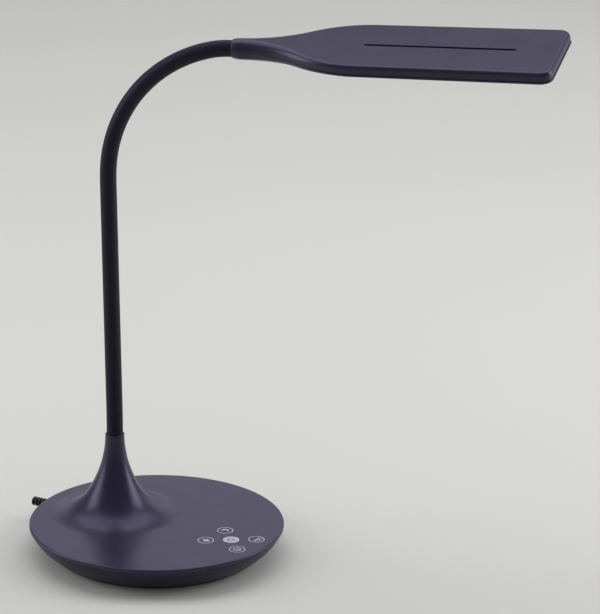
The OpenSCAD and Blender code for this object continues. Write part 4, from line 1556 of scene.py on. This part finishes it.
    def collar(self) -> bpy.types.Object:
        """The round collar that the neck goes into.

        Returns:
            The piece.
        """
        h = self._h
        cone = [
            (h.rim_r + (h.collar_r - h.rim_r) * u * (2 - u), h.flare_start * u)
            for u in (k / self.CONE_STEPS for k in range(1, self.CONE_STEPS + 1))
        ]
        mouth = [(h.bore_r, h.mouth_len), (h.mouth_r, h.mouth_len), (h.mouth_r, 0.0), (h.rim_r, 0.0), cone[0]]
        profile = (
            softened(mouth, h.collar_round, closed=False)
            + cone[1:]
            + [(h.collar_r - h.collar_sink, h.collar_len), (h.bore_r, h.collar_len)]
        )
        obj = self._shop.piece("head_collar", MeshShop.lathe(profile, self.COLLAR_STEPS), "housing")
        obj.data.transform(self.placing @ Matrix.Rotation(math.radians(90), 4, "Y"))
        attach(obj, "head")
        return obj

    def lower_frame(self) -> bpy.types.Object:
        """The lower frame: a ledge round the parting line, a soft lower edge and the diffuser's window.

        Returns:
            The piece.
        """
        h = self._h
        radii = (h.collar_r + h.split_z - h.collar_flat - h.collar_lap, h.frame_edge_r)
        lap = h.collar_lap / 2
        obj = self._shell("head_frame_skin", h.frame_parting, radii, lap, h.bottom_z, h.frame_lip)
        carve(obj, self._window_cutter())
        carve(obj, self._well_cutter())
        obj.data.transform(self.placing)
        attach(obj, "head")
        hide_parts("head_frame")
        return obj

    def _window_cutter(self) -> bmesh.types.BMesh:
        """The diffuser's window, with round corners.

        Returns:
            The shape to take away, in millimetres.
        """
        h = self._h
        r = h.window_corner
        left, right, side = h.window_x0 + r, h.window_x1 - r, h.window_half - r
        outline: Profile = []
        for x, y, start in ((right, side, 0), (left, side, 90), (left, -side, 180), (right, -side, 270)):
            outline += arc((x, y), r, start, start + 90, self.CORNER_STEPS)
        return MeshShop.prism(outline, h.bottom_z - CUT_OVER, h.split_z + CUT_OVER)

    def _well_cutter(self) -> bmesh.types.BMesh:
        """The wells of the four head screws.

        Returns:
            The shapes to take away, in millimetres.
        """
        h = self._h
        bm = bmesh.new()
        for x in h.screw_x:
            for y in (-h.screw_y, h.screw_y):
                bmesh.ops.create_cone(
                    bm, cap_ends=True, segments=self.WELL_STEPS, radius1=h.screw_well_r,
                    radius2=h.screw_well_r, depth=2 * h.screw_well_h,
                    matrix=Matrix.Translation((x, y, h.bottom_z)),
                )
        return bm

    def build(self) -> None:
        """Builds every piece of the head."""
        self.upper_shell()
        self.collar()
        self.lower_frame()


# Studio


@dataclass(frozen=True)
class Softbox:
    """One soft light, placed as the camera looks.

    Attributes:
        name: Its name.
        at: Its place to the camera's right, away from it and up, in metres.
        aim: The place that it looks at, likewise.
        size: Its width and height, in metres.
        watts: Its power.
    """

    name: str
    at: Point
    aim: Point
    size: tuple[float, float]
    watts: float


SOFTBOXES: tuple[Softbox, ...] = (
    Softbox("bank_back", at=(0.35, 1.9, 0.70), aim=(0.05, 0.0, 0.15), size=(3.0, 0.86), watts=5.2),
    Softbox("bank_top", at=(0.0, 0.65, 1.8), aim=(0.0, 0.1, 0.1), size=(2.6, 1.5), watts=22.5),
    Softbox("side_left", at=(-1.7, 0.1, 0.8), aim=(0.0, 0.0, 0.1), size=(0.9, 1.4), watts=14.0),
    Softbox("side_right", at=(1.7, 0.3, 0.8), aim=(0.0, 0.0, 0.1), size=(0.9, 1.4), watts=17.0),
)


class Studio:
    """Floor, light, surroundings and the photograph's camera."""

    # The light is slightly violet, and the floor is as much the other way, so that it still looks neutral
    FLOOR: Colour = (0.72, 0.745, 0.575)
    LIGHT: Colour = (0.83, 0.80, 1.0)
    FLOOR_HALF_M = 14.0
    FLOOR_CELLS = 24
    FLOOR_MOTTLE = 0.015
    FLOOR_ROUGHNESS = 0.9
    FLOOR_SPECULAR = 0.1
    FLOOR_NOISE = 3.0
    SURROUNDINGS = 0.30
    CLIP_NEAR_M = 0.05
    CLIP_FAR_M = 40.0

    def __init__(self, fit: CameraFit) -> None:
        """Keeps the camera's fit."""
        self._fit = fit

    def _axes(self) -> tuple[Vector, Vector, Vector]:
        """The camera's right, up and forward directions before its roll.

        Returns:
            The three directions.
        """
        a, e = math.radians(self._fit.azimuth_deg), math.radians(self._fit.pitch_deg)
        right = Vector((math.cos(a), math.sin(a), 0.0))
        away = Vector((-math.sin(a), math.cos(a), 0.0))
        up = away * math.sin(e) + Vector((0, 0, 1)) * math.cos(e)
        forward = away * math.cos(e) - Vector((0, 0, 1)) * math.sin(e)
        return right, up, forward

    def camera(self) -> bpy.types.Object:
        """Creates the camera of the photograph and makes it the scene's.

        Returns:
            The camera.
        """
        fit = self._fit
        right, up, forward = self._axes()
        offset = fit.target_in_camera
        at = Vector(fit.target) - right * offset[0] - up * offset[1] - forward * offset[2]
        roll = math.radians(fit.roll_deg)
        x = right * math.cos(roll) + up * math.sin(roll)
        y = -right * math.sin(roll) + up * math.cos(roll)
        data = bpy.data.cameras.new("photo_camera")
        data.sensor_fit = "VERTICAL"
        data.sensor_height = fit.sensor
        data.sensor_width = fit.sensor
        data.lens = fit.focal_px * fit.sensor / fit.image[1]
        data.clip_start = self.CLIP_NEAR_M
        data.clip_end = self.CLIP_FAR_M
        obj = bpy.data.objects.new("photo_camera", data)
        bpy.context.scene.collection.objects.link(obj)
        turn = Matrix((x, y, -forward)).transposed().to_4x4()
        obj.matrix_world = Matrix.Translation(at * MM) @ turn
        bpy.context.scene.camera = obj
        return obj

    def floor(self) -> bpy.types.Object:
        """A wide, plain, pale floor.

        Returns:
            The floor.
        """
        bm = bmesh.new()
        bmesh.ops.create_grid(
            bm, x_segments=self.FLOOR_CELLS, y_segments=self.FLOOR_CELLS, size=self.FLOOR_HALF_M
        )
        mesh = bpy.data.meshes.new("floor")
        bm.to_mesh(mesh)
        bm.free()
        obj = bpy.data.objects.new("floor", mesh)
        bpy.context.scene.collection.objects.link(obj)
        material = bpy.data.materials.new("floor_paper")
        material.use_nodes = True
        tree = material.node_tree
        shader = next(n for n in tree.nodes if n.type == "BSDF_PRINCIPLED")
        shader.inputs["Roughness"].default_value = self.FLOOR_ROUGHNESS
        shader.inputs["Specular IOR Level"].default_value = self.FLOOR_SPECULAR
        coords = tree.nodes.new("ShaderNodeTexCoord")
        noise = tree.nodes.new("ShaderNodeTexNoise")
        noise.inputs["Scale"].default_value = self.FLOOR_NOISE
        ramp = tree.nodes.new("ShaderNodeValToRGB")
        low, high = 1.0 - self.FLOOR_MOTTLE, 1.0 + self.FLOOR_MOTTLE
        ramp.color_ramp.elements[0].color = (*(c * low for c in self.FLOOR), 1.0)
        ramp.color_ramp.elements[1].color = (*(c * high for c in self.FLOOR), 1.0)
        tree.links.new(coords.outputs["Object"], noise.inputs["Vector"])
        tree.links.new(noise.outputs["Fac"], ramp.inputs["Fac"])
        tree.links.new(ramp.outputs["Color"], shader.inputs["Base Color"])
        mesh.materials.append(material)
        return obj

    def world(self) -> None:
        """Even, dim surroundings in the colour of the lights."""
        world = bpy.data.worlds.new("studio")
        bpy.context.scene.world = world
        world.use_nodes = True
        back = next(n for n in world.node_tree.nodes if n.type == "BACKGROUND")
        back.inputs["Color"].default_value = (*self.LIGHT, 1.0)
        back.inputs["Strength"].default_value = self.SURROUNDINGS

    def _softbox(self, box: Softbox) -> None:
        """Adds one soft light that the camera doesn't see.

        Args:
            box: Its place, aim, size and power.
        """
        right, _, _ = self._axes()
        away = Vector((-right.y, right.x, 0.0))

        def placed(p: Point) -> Vector:
            """Turns a place seen from the camera into the row frame."""
            return right * p[0] + away * p[1] + Vector((0, 0, 1)) * p[2]

        data = bpy.data.lights.new(box.name, "AREA")
        data.shape = "RECTANGLE"
        data.size, data.size_y = box.size
        data.energy = box.watts
        data.color = self.LIGHT
        obj = bpy.data.objects.new(box.name, data)
        bpy.context.scene.collection.objects.link(obj)
        way = placed(box.aim) - placed(box.at)
        turn = way.to_track_quat("-Z", "Y").to_matrix().to_4x4()
        obj.matrix_world = Matrix.Translation(placed(box.at)) @ turn
        obj.visible_camera = False

    def light(self) -> None:
        """A broad bank behind and above, with one softbox on each side."""
        for box in SOFTBOXES:
            self._softbox(box)

    def build(self) -> None:
        """Sets up the whole studio."""
        self.camera()
        self.floor()
        self.world()
        self.light()
        bpy.context.scene.view_settings.view_transform = "Standard"


def dress_nodes(frame: dict, finishes: FinishShop) -> None:
    """Gives every CAD node the finish of its record slot.

    Args:
        finishes: The finish shop.
    """
    slots = {entry["node"]: entry["material_slot"] for entry in frame["record"]["subparts"]}
    for name, obj in frame["nodes"].items():
        material = finishes.material(slots[name])
        if not obj.material_slots:
            obj.data.materials.append(material)
        for slot in obj.material_slots:
            slot.material = material


def main() -> None:
    """Builds the whole scene."""
    logging.basicConfig(level=logging.INFO, format="%(name)s: %(message)s")
    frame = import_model()
    Studio(CameraFit()).build()
    finishes = FinishShop(FINISHES)
    shop = MeshShop(finishes)
    base, neck, head = BaseSizes(), NeckSizes(), HeadSizes()
    path = NeckPath(neck, base, head)
    dress_nodes(frame, finishes)
    BaseBuilder(shop, base, ReliefSizes()).build()
    NeckBuilder(shop, neck, path).build()
    HeadBuilder(shop, head, neck, path).build()


if __name__ == "__main__":
    main()
